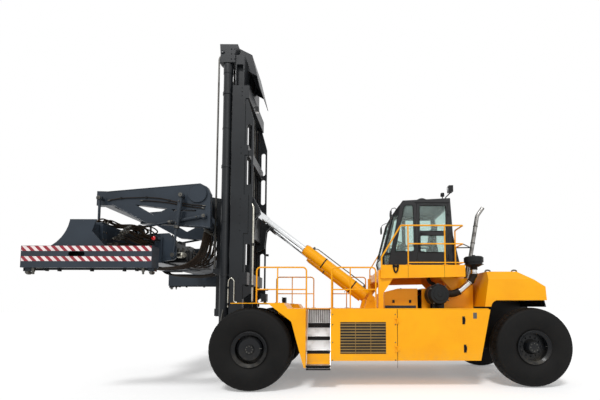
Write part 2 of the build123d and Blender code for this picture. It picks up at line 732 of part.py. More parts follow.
with BuildPart() as left_louvres:
    block(
        (BOX_FRONT_X, DOOR_FRONT_X),
        (-BOX_OUTER_Y, -BOX_OUTER_Y + PANEL_THICKNESS),
        (BOX_BOTTOM_Z, DECK_UNDER_Z),
    )
    block(
        (GRILLE_X0, GRILLE_X1),
        (-BOX_OUTER_Y, -BOX_OUTER_Y + PANEL_THICKNESS),
        (GRILLE_Z0, GRILLE_Z1),
        Mode.SUBTRACT,
    )
    louvre_pitch = (GRILLE_Z1 - GRILLE_Z0) / LOUVRE_COUNT
    for index in range(LOUVRE_COUNT):
        z = GRILLE_Z0 + louvre_pitch * (index + 0.5)
        with BuildSketch(Plane.YZ.offset(GRILLE_X0 - 10)):
            with BuildLine():
                Polyline(
                    (-BOX_OUTER_Y + 2, z - 20),
                    (-BOX_OUTER_Y + 6, z - 20),
                    (-BOX_OUTER_Y + 34, z + 16),
                    (-BOX_OUTER_Y + 30, z + 16),
                    close=True,
                )
            make_face()
        extrude(amount=GRILLE_X1 - GRILLE_X0 + 20)
    bay = (GRILLE_X1 - GRILLE_X0) / GRILLE_BAYS
    for index in range(1, GRILLE_BAYS):
        bar_x = GRILLE_X0 + bay * index
        block(
            (bar_x - GRILLE_BAR / 2, bar_x + GRILLE_BAR / 2),
            (-BOX_OUTER_Y, -BOX_OUTER_Y + PANEL_THICKNESS),
            (GRILLE_Z0 - 10, GRILLE_Z1 + 10),
        )
    for z in SIDE_HINGE_Z:
        hinge_pin(SIDE_HINGE_X, SIDE_HINGE_Y, z, DOOR_FRONT_X - 60, -BOX_OUTER_Y)
save_both(left_louvres.part, "louvre_panels")

# Side doors: one leaf each, hinged at the front edge, with two recessed latches
with BuildPart() as side_door:
    slope = (BOX_REAR_TOP_X - BOX_REAR_BOTTOM_X) / (DECK_UNDER_Z - BOX_BOTTOM_Z)
    side_profile(
        [
            (DOOR_FRONT_X + DOOR_GAP, BOX_BOTTOM_Z + 2),
            (BOX_REAR_BOTTOM_X, BOX_BOTTOM_Z + 2),
            (BOX_REAR_TOP_X - 2 * slope, DECK_UNDER_Z - 2),
            (DOOR_FRONT_X + DOOR_GAP, DECK_UNDER_Z - 2),
        ],
        -BOX_OUTER_Y,
        -BOX_OUTER_Y + PANEL_THICKNESS - 1,
    )
    for x, z in ((3025, 1474), (3046, 866)):
        block((x - 18, x + 18), (-BOX_OUTER_Y - 1, -BOX_OUTER_Y + 14), (z - 75, z + 75), Mode.SUBTRACT)
        block((x - 9, x + 9), (-BOX_OUTER_Y + 2, -BOX_OUTER_Y + 16), (z - 55, z + 55))
    for z in SIDE_HINGE_Z:
        hinge_sleeve(SIDE_HINGE_X, SIDE_HINGE_Y, z, DOOR_FRONT_X + 60, -BOX_OUTER_Y)
save_sides(side_door.part, "side_door")

# Engine: one plain block on the frame's cross members
with BuildPart() as engine:
    block((1640, 3050), (-400, 400), (1000, 2050))
save(engine.part, "engine")

# Bonnet: sheet housing over the engine, higher at the back
BONNET_SIDE = [
    (BONNET_FRONT_X, DECK_Z),
    (BONNET_FRONT_X, BONNET_TOP_Z - 85),
    (BONNET_FRONT_X + 330, BONNET_TOP_Z),
    (2850, BONNET_TOP_Z),
    (3020, BONNET_BACK_TOP_Z),
    (BONNET_REAR_X, BONNET_BACK_TOP_Z),
    (BONNET_REAR_X, DECK_Z),
]
with BuildPart() as bonnet:
    side_profile(BONNET_SIDE, -BONNET_HALF_WIDTH, BONNET_HALF_WIDTH)
    side_profile(
        [
            (BONNET_FRONT_X + BONNET_SKIN, DECK_Z),
            (BONNET_FRONT_X + BONNET_SKIN, BONNET_TOP_Z - 85 - BONNET_SKIN),
            (BONNET_FRONT_X + 330, BONNET_TOP_Z - BONNET_SKIN),
            (2850, BONNET_TOP_Z - BONNET_SKIN),
            (3020 + BONNET_SKIN, BONNET_BACK_TOP_Z - BONNET_SKIN),
            (BONNET_REAR_X - BONNET_SKIN, BONNET_BACK_TOP_Z - BONNET_SKIN),
            (BONNET_REAR_X - BONNET_SKIN, DECK_Z),
        ],
        -BONNET_HALF_WIDTH + BONNET_SKIN,
        BONNET_HALF_WIDTH - BONNET_SKIN,
        Mode.SUBTRACT,
    )
    # The front cover and the rear housing stand apart
    block(
        (BONNET_SPLIT_X0, BONNET_SPLIT_X1),
        (-BONNET_HALF_WIDTH - 10, BONNET_HALF_WIDTH + 10),
        (DECK_Z - 10, BONNET_BACK_TOP_Z),
        Mode.SUBTRACT,
    )
save(bonnet.part, "bonnet")

# Counterweight: cast block over the steered wheels, with chamfered shoulders and a sloping tail
with BuildPart() as counterweight:
    with BuildSketch(Plane.XZ.offset(WEIGHT_HALF_WIDTH)):
        with BuildLine():
            Polyline(
                (3861, ARCH_TOP_Z),
                (4976, ARCH_TOP_Z),
                (4954, 2220),
                (4389, WEIGHT_TOP_Z),
                (3701, WEIGHT_TOP_Z),
                (3576, 1771),
                (3720, 1771),
            )
            ThreePointArc((3720, 1771), (3765, 1868), (3861, ARCH_TOP_Z))
        make_face()
    extrude(amount=-2 * WEIGHT_HALF_WIDTH)
    with BuildSketch(Plane.YZ.offset(3500)):
        with BuildLine():
            Polyline(
                (-WEIGHT_HALF_WIDTH, 1700),
                (-WEIGHT_HALF_WIDTH, WEIGHT_TOP_Z - 190),
                (-WEIGHT_HALF_WIDTH + 170, WEIGHT_TOP_Z + 10),
                (WEIGHT_HALF_WIDTH - 170, WEIGHT_TOP_Z + 10),
                (WEIGHT_HALF_WIDTH, WEIGHT_TOP_Z - 190),
                (WEIGHT_HALF_WIDTH, 1700),
                close=True,
            )
        make_face()
    extrude(amount=1600, mode=Mode.INTERSECT)
save(counterweight.part, "counterweight")

# Cab stand: legs, fascias, cross beams and walkway floor
with BuildPart() as cab_stand:
    fascia_bottom = BONNET_BACK_TOP_Z
    for side in (-1, 1):
        side_profile(
            [
                (STAND_FRONT_X + 50, STAND_FLOOR_Z),
                (STAND_FRONT_X + 50, fascia_bottom - 40),
                (STAND_REAR_X, fascia_bottom),
                (STAND_REAR_X, STAND_FLOOR_Z),
            ],
            *sorted((side * LEG_OUTER_Y, side * STAND_HALF_WIDTH)),
        )
        side_profile(
            [
                (STAND_FRONT_X, DECK_Z),
                (STAND_FRONT_X + 112, DECK_Z),
                (STAND_FRONT_X + 112, 2080),
                (STAND_FRONT_X + 340, fascia_bottom - 30),
                (STAND_FRONT_X + 340, STAND_FLOOR_Z - 20),
                (STAND_FRONT_X, STAND_FLOOR_Z - 120),
            ],
            *sorted((side * (LEG_OUTER_Y - LEG_THICKNESS), side * LEG_OUTER_Y)),
        )
    full_width = (-STAND_HALF_WIDTH, STAND_HALF_WIDTH)
    between_legs = (-LEG_OUTER_Y, LEG_OUTER_Y)
    block((STAND_FRONT_X + 200, STAND_REAR_X), full_width, (STAND_FLOOR_Z - 20, STAND_FLOOR_Z))
    block((STAND_FRONT_X + 60, STAND_FRONT_X + 200), between_legs, (fascia_bottom, STAND_FLOOR_Z - 70))
    block((STAND_REAR_X - 120, STAND_REAR_X), between_legs, (fascia_bottom, STAND_FLOOR_Z - 20))
    # Gusset plates under the rear beam
    for side in (-1, 1):
        side_profile(
            [
                (2750, STAND_FLOOR_Z - 20),
                (STAND_REAR_X - 50, STAND_FLOOR_Z - 20),
                (STAND_REAR_X - 50, 2165),
                (3010, 2165),
                (2750, fascia_bottom),
            ],
            *sorted((side * (BONNET_HALF_WIDTH + 50), side * (BONNET_HALF_WIDTH + 65))),
        )
save(cab_stand.part, "cab_stand")

# Cab: outline from the side, bevelled front corners, hollow, with windows cut
CAB_SIDE = [
    (1440, STAND_FLOOR_Z),
    (1372, 2930),
    (1659, 4066),
    (1904, 4408),
    (3088, 4475),
    (3144, 3542),
    (3291, 2869),
    (3291, STAND_FLOOR_Z),
]
CAB_BEVEL_X, CAB_BEVEL_Y = 200, 230
CAB_BEVEL_LEAN = 0.2
CAB_PILLAR_SHARE = 0.93
SCREEN_HALF_WIDTH = 505
DOOR_X0, DOOR_X1 = 2245, 3030
CAB_HINGE_X, CAB_HINGE_Y = DOOR_X1 - DOOR_GAP / 2, -CAB_HALF_WIDTH - 18
CAB_HINGE_Z = (3000, 4100)
CAB_DOOR_Z0, CAB_DOOR_Z1 = STAND_FLOOR_Z + 70, 4330


def plan_loft(sections, mode=Mode.ADD):
    """A straight-walled solid between level outlines, given as (height, points) pairs."""
    faces = []
    for z, points in sections:
        with BuildSketch(Plane.XY.offset(z), mode=Mode.PRIVATE) as outline:
            with BuildLine():
                Polyline(*points, close=True)
            make_face()
        faces.append(outline.sketch.face())
    loft(faces, ruled=True, mode=mode)


def bevel_corners(inset, z, side):
    """The front and the rear corner of a bevelled cab corner at one height, moved in by an inset."""
    length = hypot(CAB_BEVEL_X, CAB_BEVEL_Y)
    x = CAB_SIDE[1][0] + CAB_BEVEL_LEAN * (z - CAB_SIDE[1][1]) + inset * CAB_BEVEL_Y / length
    y = CAB_HALF_WIDTH - inset * CAB_BEVEL_X / length
    return Vector(x, side * (y - CAB_BEVEL_Y)), Vector(x + CAB_BEVEL_X, side * y)


def cab_solid(inset):
    """The cab's outer form, made smaller by an inset all round."""
    with BuildPart() as form:
        with BuildSketch(Plane.XZ.offset(CAB_HALF_WIDTH - inset)):
            with BuildLine():
                Polyline(*CAB_SIDE, close=True)
            make_face()
            if inset:
                offset(amount=-inset, kind=Kind.INTERSECTION, mode=Mode.REPLACE)
        extrude(amount=-2 * (CAB_HALF_WIDTH - inset))
        for side in (-1, 1):
            sections = []
            for z in (STAND_FLOOR_Z - 100, 4600):
                front, rear = bevel_corners(inset, z, side)
                ahead, behind = front * 2 - rear, rear * 2 - front
                beyond = side * 1900
                outline = [ahead, behind, Vector(behind.X, beyond), Vector(ahead.X - 400, beyond)]
                sections.append((z, outline))
            plan_loft(sections, Mode.SUBTRACT)
    return form.part


def window_side(points, side):
    """A cutter through one side wall, from (X, Z) points."""
    with BuildPart() as cutter:
        side_profile(points, *sorted((side * (CAB_HALF_WIDTH - 120), side * (CAB_HALF_WIDTH + 60))))
    return cutter.part


def window_end(y, z, x):
    """A cutter through the front or the back."""
    with BuildPart() as cutter:
        block(x, y, z)
    return cutter.part


def window_slope(start, end, half_width):
    """A cutter through a wall that leans from one (X, Z) point to another."""
    along = Vector(*end) - Vector(*start)
    out = Vector(-along.Y, along.X).normalized() * 80
    corners = [Vector(*start) + out, Vector(*end) + out, Vector(*end) - out, Vector(*start) - out]
    with BuildPart() as cutter:
        side_profile([(corner.X, corner.Y) for corner in corners], -half_width, half_width)
    return cutter.part


def window_corner(levels, side):
    """A cutter through a bevelled corner, from (height, share of the bevel in front of the glass) pairs."""
    sections = []
    for z, share in levels:
        front, rear = bevel_corners(0, z, side)
        along = rear - front
        out = Vector(-CAB_BEVEL_Y, side * CAB_BEVEL_X).normalized()
        start, end = front + along * share, front + along * CAB_PILLAR_SHARE
        sections.append((z, [start + out * 60, end + out * 60, end - out * 90, start - out * 90]))
    with BuildPart() as cutter:
        plan_loft(sections)
    return cutter.part


QUARTER_WINDOW = [(1700, 3128), (2175, 3128), (2160, 4290), (1945, 4290)]
REAR_SIDE_WINDOW = [(2255, 3128), (3050, 3128), (3010, 4280), (2255, 4280)]
DOOR_UPPER_WINDOW = [(2315, 3640), (2975, 3640), (2975, 4280), (2315, 4280)]
DOOR_LOWER_WINDOW = [(2330, 3110), (2965, 3110), (2965, 3530), (2330, 3530)]
CORNER_WINDOWS = [[(3110, 0.21), (4040, 0.45)], [(2800, 0.5), (3060, 0.2)]]

windscreen = window_end((-SCREEN_HALF_WIDTH, SCREEN_HALF_WIDTH), (3080, 4020), (1250, 1900))
low_screen = window_end((-SCREEN_HALF_WIDTH, SCREEN_HALF_WIDTH), (2800, 3010), (1250, 1600))
rear_screen = window_end((-680, 680), (3150, 4280), (2990, 3350))
roof_screen = window_slope((1688, 4107), (1869, 4359), SCREEN_HALF_WIDTH)
right_window = window_side(REAR_SIDE_WINDOW, 1)
quarter_windows = [window_side(QUARTER_WINDOW, side) for side in (-1, 1)]
corner_windows = [window_corner(levels, side) for levels in CORNER_WINDOWS for side in (-1, 1)]
door_opening = window_side(
    [(DOOR_X0, CAB_DOOR_Z0), (DOOR_X1, CAB_DOOR_Z0), (DOOR_X1, CAB_DOOR_Z1), (DOOR_X0, CAB_DOOR_Z1)], -1
)
window_cutters = [
    windscreen,
    low_screen,
    rear_screen,
    roof_screen,
    right_window,
    *quarter_windows,
    *corner_windows,
]

with BuildPart() as cab:
    add(cab_solid(0))
    add(cab_solid(CAB_WALL), mode=Mode.SUBTRACT)
    for cutter in [*window_cutters, door_opening]:
        add(cutter, mode=Mode.SUBTRACT)
    for z in CAB_HINGE_Z:
        hinge_pin(CAB_HINGE_X, CAB_HINGE_Y, z, DOOR_X1 + 50, -CAB_HALF_WIDTH)
save(cab.part, "cab")

with BuildPart() as cab_glass:
    add(cab_solid(GLASS_INSET))
    add(cab_solid(GLASS_INSET + GLASS_THICKNESS), mode=Mode.SUBTRACT)
    with BuildPart(mode=Mode.PRIVATE) as all_windows:
        for cutter in window_cutters:
            add(cutter)
    add(all_windows.part, mode=Mode.INTERSECT)
save(cab_glass.part, "cab_glass")

# Cab door with two panes, hinged at its rear edge
with BuildPart() as cab_door:
    side_profile(
        [
            (DOOR_X0 + DOOR_GAP, CAB_DOOR_Z0 + DOOR_GAP),
            (DOOR_X1 - DOOR_GAP, CAB_DOOR_Z0 + DOOR_GAP),
            (DOOR_X1 - DOOR_GAP, CAB_DOOR_Z1 - DOOR_GAP),
            (DOOR_X0 + DOOR_GAP, CAB_DOOR_Z1 - DOOR_GAP),
        ],
        -CAB_HALF_WIDTH,
        -CAB_HALF_WIDTH + CAB_WALL - 2,
    )
    for window in (DOOR_UPPER_WINDOW, DOOR_LOWER_WINDOW):
        add(window_side(window, -1), mode=Mode.SUBTRACT)
    for z in CAB_HINGE_Z:
        hinge_sleeve(CAB_HINGE_X, CAB_HINGE_Y, z, DOOR_X1 - 60, -CAB_HALF_WIDTH)
    tube_path(
        [
            (DOOR_X0 + 60, -CAB_HALF_WIDTH + 10, 3130),
            (DOOR_X0 + 60, -CAB_HALF_WIDTH - 40, 3130),
            (DOOR_X0 + 60, -CAB_HALF_WIDTH - 40, 3420),
            (DOOR_X0 + 60, -CAB_HALF_WIDTH + 10, 3420),
        ],
        10,
        20,
    )
save(cab_door.part, "cab_door")

with BuildPart() as door_glass:
    for window in (DOOR_UPPER_WINDOW, DOOR_LOWER_WINDOW):
        side_profile(window, -CAB_HALF_WIDTH + GLASS_INSET, -CAB_HALF_WIDTH + GLASS_INSET + GLASS_THICKNESS)
save(door_glass.part, "cab_door_glass")

# Inside the cab: seat, console and steering wheel
CAB_FLOOR_Z = STAND_FLOOR_Z + CAB_WALL
with BuildPart() as cab_interior:
    block((2330, 2790), (-230, 230), (CAB_FLOOR_Z + 320, CAB_FLOOR_Z + 450))
    side_profile([(2690, 3200), (2820, 3200), (2920, 3880), (2800, 3900)], -225, 225)
    block((2470, 2670), (-120, 120), (CAB_FLOOR_Z, CAB_FLOOR_Z + 320))
    side_profile([(1780, CAB_FLOOR_Z), (1960, CAB_FLOOR_Z), (2060, 3400), (1960, 3440)], -70, 70)
    with Locations(Plane(origin=(2020, 0, 3420), z_dir=(0.5, 0, 0.9))):
        Cylinder(200, 24)
    block((2330, 2760), (270, 420), (CAB_FLOOR_Z, 3330))
save(cab_interior.part, "cab_interior")

# Handrails of the deck and of the cab walkway
with BuildPart() as left_rails:
    for x0, x1, base in ((-1560, -430, FENDER_TOP_Z), (128 + RAIL_RADIUS, 1150, DECK_Z)):
        tube_path(
            [
                (x0, -DECK_RAIL_Y, base),
                (x0, -DECK_RAIL_Y, DECK_RAIL_TOP_Z),
                (x1, -DECK_RAIL_Y, DECK_RAIL_TOP_Z),
                (x1, -DECK_RAIL_Y, DECK_Z),
            ],
            RAIL_RADIUS,
            90,
        )
        middle = x0 + 0.42 * (x1 - x0)
        middle_base = FENDER_TOP_Z if middle < -864 else DECK_Z
        rod((middle, -DECK_RAIL_Y, middle_base), (middle, -DECK_RAIL_Y, DECK_RAIL_TOP_Z), RAIL_RADIUS - 3)
        rod((x0, -DECK_RAIL_Y, 2160), (x1, -DECK_RAIL_Y, 2160), RAIL_RADIUS - 3)
    # Cab walkway: a sloping front and a short return at the back
    front_x, rear_x = 1284, STAND_REAR_X - 25
    tube_path(
        [
            (front_x, -CAB_RAIL_Y, STAND_FLOOR_Z),
            (front_x, -CAB_RAIL_Y, STAND_FLOOR_Z + 180),
            (1732, -CAB_RAIL_Y, CAB_RAIL_TOP_Z),
            (rear_x, -CAB_RAIL_Y, CAB_RAIL_TOP_Z),
            (rear_x, -CAB_HALF_WIDTH - 80, CAB_RAIL_TOP_Z),
            (rear_x, -CAB_HALF_WIDTH - 80, STAND_FLOOR_Z),
        ],
        RAIL_RADIUS,
        45,
    )
    post_x = (1895, 2739)
    for x in post_x:
        rod((x, -CAB_RAIL_Y, STAND_FLOOR_Z), (x, -CAB_RAIL_Y, CAB_RAIL_TOP_Z), RAIL_RADIUS - 2)
    tube_path(
        [
            (post_x[0], -CAB_RAIL_Y, CAB_MID_RAIL_Z),
            (rear_x, -CAB_RAIL_Y, CAB_MID_RAIL_Z),
            (rear_x, -CAB_HALF_WIDTH - 80, CAB_MID_RAIL_Z),
        ],
        RAIL_RADIUS - 3,
        45,
    )
save_both(left_rails.part, "handrails")

# Air intake on the left: filter drum, pipe and pre-cleaner
FILTER_X, FILTER_Z, FILTER_RADIUS = 2601, 2046, 240
INTAKE_X, INTAKE_Y = 3440, -1300
with BuildPart() as air_filter:
    with BuildSketch(Plane.XY.offset(FILTER_Z)):
        with BuildLine():
            Polyline(
                (FILTER_X, -1430),
                (FILTER_X, -BONNET_HALF_WIDTH - 20),
                (FILTER_X + FILTER_RADIUS, -BONNET_HALF_WIDTH - 20),
                (FILTER_X + FILTER_RADIUS, -1330),
                (FILTER_X + FILTER_RADIUS - 60, -1400),
                (FILTER_X + 90, -1430),
                close=True,
            )
        make_face()
    revolve(axis=Axis((FILTER_X, 0, FILTER_Z), (0, 1, 0)))
    for y in (-1080, -1290):
        block((FILTER_X - 130, FILTER_X + 130), (y - 20, y + 20), (DECK_Z, FILTER_Z - 180))
    with BuildSketch(Plane.XZ.offset(-INTAKE_Y)) as bowl:
        with BuildLine():
            Polyline(
                (INTAKE_X, 2690),
                (INTAKE_X + 110, 2690),
                (INTAKE_X + 190, 2730),
                (INTAKE_X + 195, 2800),
                (INTAKE_X + 217, 2805),
                (INTAKE_X + 217, 2900),
                (INTAKE_X + 190, 2925),
                (INTAKE_X, 2935),
                close=True,
            )
        make_face()
    revolve(bowl.sketch, axis=Axis((INTAKE_X, INTAKE_Y, 0), (0, 0, 1)))
save(air_filter.part, "air_filter")

with BuildPart() as intake_pipe:
    tube_path(
        [
            (FILTER_X + FILTER_RADIUS - 60, -1200, FILTER_Z + 20),
            (FILTER_X + FILTER_RADIUS + 220, -1240, FILTER_Z + 30),
            (INTAKE_X, INTAKE_Y, 2420),
            (INTAKE_X, INTAKE_Y, 2690),
        ],
        70,
        150,
    )
    rod(
        (FILTER_X, -1500, FILTER_Z),
        (FILTER_X, -BONNET_HALF_WIDTH, FILTER_Z),
        FILTER_RADIUS,
        Mode.SUBTRACT,
    )
save(intake_pipe.part, "intake_pipe")

# Exhaust stack, leaning back, with an angled open tip
with BuildPart() as exhaust:
    exhaust_path = [(3493, -700, BONNET_BACK_TOP_Z), (3785, -700, 4041), (3930, -700, 4246)]
    tube_path(exhaust_path, 50, 120)
    tube_path(
        [(3785 - 0.5 * 292, -700, 4041 - 0.5 * 1591), (3785, -700, 4041), (3960, -700, 4288)],
        44,
        120,
        Mode.SUBTRACT,
    )
    rod((3493, -700, BONNET_BACK_TOP_Z), (3493 + 73, -700, BONNET_BACK_TOP_Z + 400), 75)
    block((3300, 3700), (-900, -500), (BONNET_BACK_TOP_Z - 200, BONNET_BACK_TOP_Z), Mode.SUBTRACT)
save(exhaust.part, "exhaust")

# Lamps: headlamps on the fenders, lamp and beacon on the cab roof
with BuildPart() as lamps:
    for side in (-1, 1):
        block((-1400, -1290), sorted((side * 1480, side * 1680)), (FENDER_TOP_Z + 30, FENDER_TOP_Z + 200))
        block((-1355, -1335), sorted((side * 1560, side * 1600)), (FENDER_TOP_Z, FENDER_TOP_Z + 30))
    rod((2940, -640, 4440), (2940, -640, 4600), 12)
    rod((2940, -640, 4560), (2940, -640, 4640), 45)
    tube_path([(3040, -560, 4440), (3040, -560, 4550), (3170, -560, 4680), (3170, -560, 4720)], 14, 30)
    block((3110, 3220), (-640, -480), (4690, 4850))
    add(cab_solid(0), mode=Mode.SUBTRACT)
save(lamps.part, "lamps")

# Tilt cylinders: barrels and rods
TILT_NORMAL = Vector(-TILT_DIRECTION.Z, 0, TILT_DIRECTION.X)


def on_tilt_line(distance, y=-TILT_Y):
    """The point of the tilt cylinder's centreline at a distance from the frame pin."""
    return (TILT_FRAME_X + TILT_DIRECTION.X * distance, y, TILT_FRAME_Z + TILT_DIRECTION.Z * distance)


with BuildPart() as tilt_barrel:
    rod(on_tilt_line(150), on_tilt_line(TILT_BARREL_END), TILT_BARREL_RADIUS)
    rod(on_tilt_line(TILT_BARREL_END - 60), on_tilt_line(TILT_BARREL_END + 40), TILT_BARREL_RADIUS - 12)
    rod(on_tilt_line(260), on_tilt_line(TILT_BARREL_END - 70), TILT_BORE_RADIUS, Mode.SUBTRACT)
    rod(
        on_tilt_line(TILT_BARREL_END - 100),
        on_tilt_line(TILT_BARREL_END + 60),
        TILT_ROD_RADIUS + BEARING_GAP,
        Mode.SUBTRACT,
    )
    with BuildSketch(Plane.XZ.offset(TILT_Y + TILT_EYE_HALF_WIDTH)):
        with Locations((TILT_FRAME_X, TILT_FRAME_Z)):
            Circle(95)
        with BuildLine():
            foot = [
                Vector(*on_tilt_line(distance)) + TILT_NORMAL * across
                for distance, across in ((0, 90), (190, 90), (190, -90), (0, -90))
            ]
            Polyline(*[(p.X, p.Z) for p in foot], close=True)
        make_face()
        with Locations((TILT_FRAME_X, TILT_FRAME_Z)):
            Circle(TILT_PIN_RADIUS + BEARING_GAP, mode=Mode.SUBTRACT)
    extrude(amount=-2 * TILT_EYE_HALF_WIDTH)
save_sides(tilt_barrel.part, "tilt_barrel")

with BuildPart() as tilt_rod:
    eye_radius = TILT_PIN_RADIUS + TILT_EYE_DRIFT + 40
    neck = TILT_LENGTH - 210
    rod(on_tilt_line(TILT_ROD_START), on_tilt_line(neck), TILT_ROD_RADIUS)
    rod(on_tilt_line(TILT_ROD_START), on_tilt_line(TILT_ROD_START + 90), TILT_BORE_RADIUS - BEARING_GAP)
    rod(on_tilt_line(neck - 120), on_tilt_line(neck), TILT_ROD_RADIUS + 22)
    with BuildSketch(Plane.XZ.offset(TILT_Y + TILT_EYE_HALF_WIDTH)):
        with Locations((TILT_MAST_X, TILT_MAST_Z)):
            Circle(eye_radius)
        with BuildLine():
            corners = ((neck - 20, 80), (TILT_LENGTH, 80), (TILT_LENGTH, -80), (neck - 20, -80))
            shank = [Vector(*on_tilt_line(distance)) + TILT_NORMAL * across for distance, across in corners]
            Polyline(*[(p.X, p.Z) for p in shank], close=True)
        make_face()
        with Locations((TILT_MAST_X, TILT_MAST_Z)):
            Circle(TILT_PIN_RADIUS + TILT_EYE_DRIFT, mode=Mode.SUBTRACT)
    extrude(amount=-2 * TILT_EYE_HALF_WIDTH)
save_sides(tilt_rod.part, "tilt_rod")

# Outer mast: channel uprights, backbone plates, cross members, tilt ears and pivot feet
with BuildPart() as outer_mast:
    for side in (-1, 1):
        web = sorted((side * (OUTER_MAST_Y - OUTER_WEB), side * OUTER_MAST_Y))
        flange = sorted((side * OUTER_FLANGE_Y, side * OUTER_MAST_Y))
        height = (OUTER_BOTTOM_Z, OUTER_TOP_Z)
        block((UPRIGHT_FRONT_X, UPRIGHT_REAR_X), web, height)
        block((UPRIGHT_FRONT_X, UPRIGHT_FRONT_X + OUTER_FLANGE), flange, height)
        block((UPRIGHT_REAR_X - OUTER_FLANGE, UPRIGHT_REAR_X), flange, height)
        # Backbone: a deep rib behind each upright, curved down at its ends
        with BuildSketch(Plane.XZ.offset(-min(side * 860, side * 900))):
            with BuildLine():
                Polyline(
                    (UPRIGHT_REAR_X, 1950),
                    (BACKBONE_REAR_X, 2100),
                    (BACKBONE_REAR_X, 6400),
                    (UPRIGHT_REAR_X, 7150),
                    close=True,
                )
            make_face()
            for z0, z1 in ((2250, 3300), (4750, 5500), (5620, 6300)):
                with Locations((UPRIGHT_REAR_X + 105, (z0 + z1) / 2)):
                    SlotOverall(z1 - z0, 120, rotation=90, mode=Mode.SUBTRACT)
        extrude(amount=-40)
        # Foot with the pivot eye
        with BuildSketch(Plane.XZ.offset(-min(side * (FRAME_OUTER_Y + 20), side * (FRAME_OUTER_Y + 80)))):
            with BuildLine():
                Polyline(
                    (UPRIGHT_REAR_X - 30, OUTER_BOTTOM_Z + 40),
                    (MAST_PIVOT_X, MAST_PIVOT_Z - EAR_RADIUS + 4),
                    (MAST_PIVOT_X, MAST_PIVOT_Z + EAR_RADIUS - 4),
                    (UPRIGHT_REAR_X - 30, MAST_PIVOT_Z + 420),
                    close=True,
                )
            make_face()
            with Locations((MAST_PIVOT_X, MAST_PIVOT_Z)):
                Circle(EAR_RADIUS - 4)
                Circle(MAST_PIN_RADIUS + BEARING_GAP, mode=Mode.SUBTRACT)
        extrude(amount=-60)
        # Tilt ears
        for gap_side in (-1, 1):
            near = side * TILT_Y + gap_side * (TILT_EYE_HALF_WIDTH + 8)
            far = side * TILT_Y + gap_side * (TILT_EYE_HALF_WIDTH + 8 + TILT_EAR_THICKNESS)
            side_profile(
                [
                    (UPRIGHT_REAR_X - 20, 4560),
                    (BACKBONE_REAR_X, 4480),
                    (TILT_MAST_X + 70, TILT_MAST_Z + 90),
                    (TILT_MAST_X + 95, TILT_MAST_Z - 30),
                    (TILT_MAST_X - 40, TILT_MAST_Z - 170),
                    (BACKBONE_REAR_X, 3420),
                    (UPRIGHT_REAR_X - 20, 3300),
                ],
                *sorted((near, far)),
            )
        reach = TILT_EYE_HALF_WIDTH + TILT_EAR_THICKNESS + 28
        rod(
            (TILT_MAST_X, side * TILT_Y - reach, TILT_MAST_Z),
            (TILT_MAST_X, side * TILT_Y + reach, TILT_MAST_Z),
            TILT_PIN_RADIUS,
        )
    for z0, z1, rear_x in (
        (OUTER_BOTTOM_Z + 60, 780, -2000),
        (2300, 2600, -1900),
        (3550, 4500, -1900),
        (5500, 5750, -1920),
        (6950, OUTER_TOP_Z, -1920),
    ):
        block((UPRIGHT_REAR_X - 10, rear_x), (-OUTER_MAST_Y, OUTER_MAST_Y), (z0, z1))
    for side in (-1, 1):
        reach = TILT_EYE_HALF_WIDTH + 8
        block(
            (UPRIGHT_REAR_X, TILT_MAST_X + 200),
            (side * TILT_Y - reach, side * TILT_Y + reach),
            (TILT_MAST_Z - 300, TILT_MAST_Z + 160),
            Mode.SUBTRACT,
        )
        rod(
            (TILT_MAST_X, side * TILT_Y - reach - 5, TILT_MAST_Z),
            (TILT_MAST_X, side * TILT_Y + reach + 5, TILT_MAST_Z),
            TILT_PIN_RADIUS,
        )
    # Base plate that carries the lift cylinders
    base_plate_z = (OUTER_BOTTOM_Z, OUTER_BOTTOM_Z + 60)
    block((LIFT_X - 130, UPRIGHT_REAR_X), (-OUTER_MAST_Y, OUTER_MAST_Y), base_plate_z)
save(outer_mast.part, "outer_mast")

# Lift cylinders: barrels on the outer mast
with BuildPart() as lift_barrels:
    for side in (-1, 1):
        bottom = OUTER_BOTTOM_Z + 60
        place = (LIFT_X, side * LIFT_Y)
        rod((*place, bottom), (*place, LIFT_BARREL_TOP_Z), LIFT_BARREL_RADIUS)
        rod((*place, bottom + 60), (*place, LIFT_BARREL_TOP_Z - 90), LIFT_BORE_RADIUS, Mode.SUBTRACT)
        rod((*place, LIFT_BARREL_TOP_Z), (*place, LIFT_GLAND_TOP_Z), LIFT_BARREL_RADIUS + 8)
        rod(
            (*place, LIFT_BARREL_TOP_Z - 100),
            (*place, LIFT_GLAND_TOP_Z + 10),
            LIFT_ROD_RADIUS + BEARING_GAP,
            Mode.SUBTRACT,
        )
        for z in (2500, 5200, OUTER_TOP_Z - 200):
            with BuildSketch(Plane.XY.offset(z)):
                with Locations((LIFT_X, side * LIFT_Y)):
                    Circle(LIFT_BARREL_RADIUS + 14)
                with Locations(((LIFT_X + UPRIGHT_FRONT_X) / 2, side * LIFT_Y)):
                    Rectangle(UPRIGHT_FRONT_X - LIFT_X, 90)
                with Locations((LIFT_X, side * LIFT_Y)):
                    Circle(LIFT_BARREL_RADIUS - 5, mode=Mode.SUBTRACT)
            extrude(amount=60)
save(lift_barrels.part, "lift_barrels")

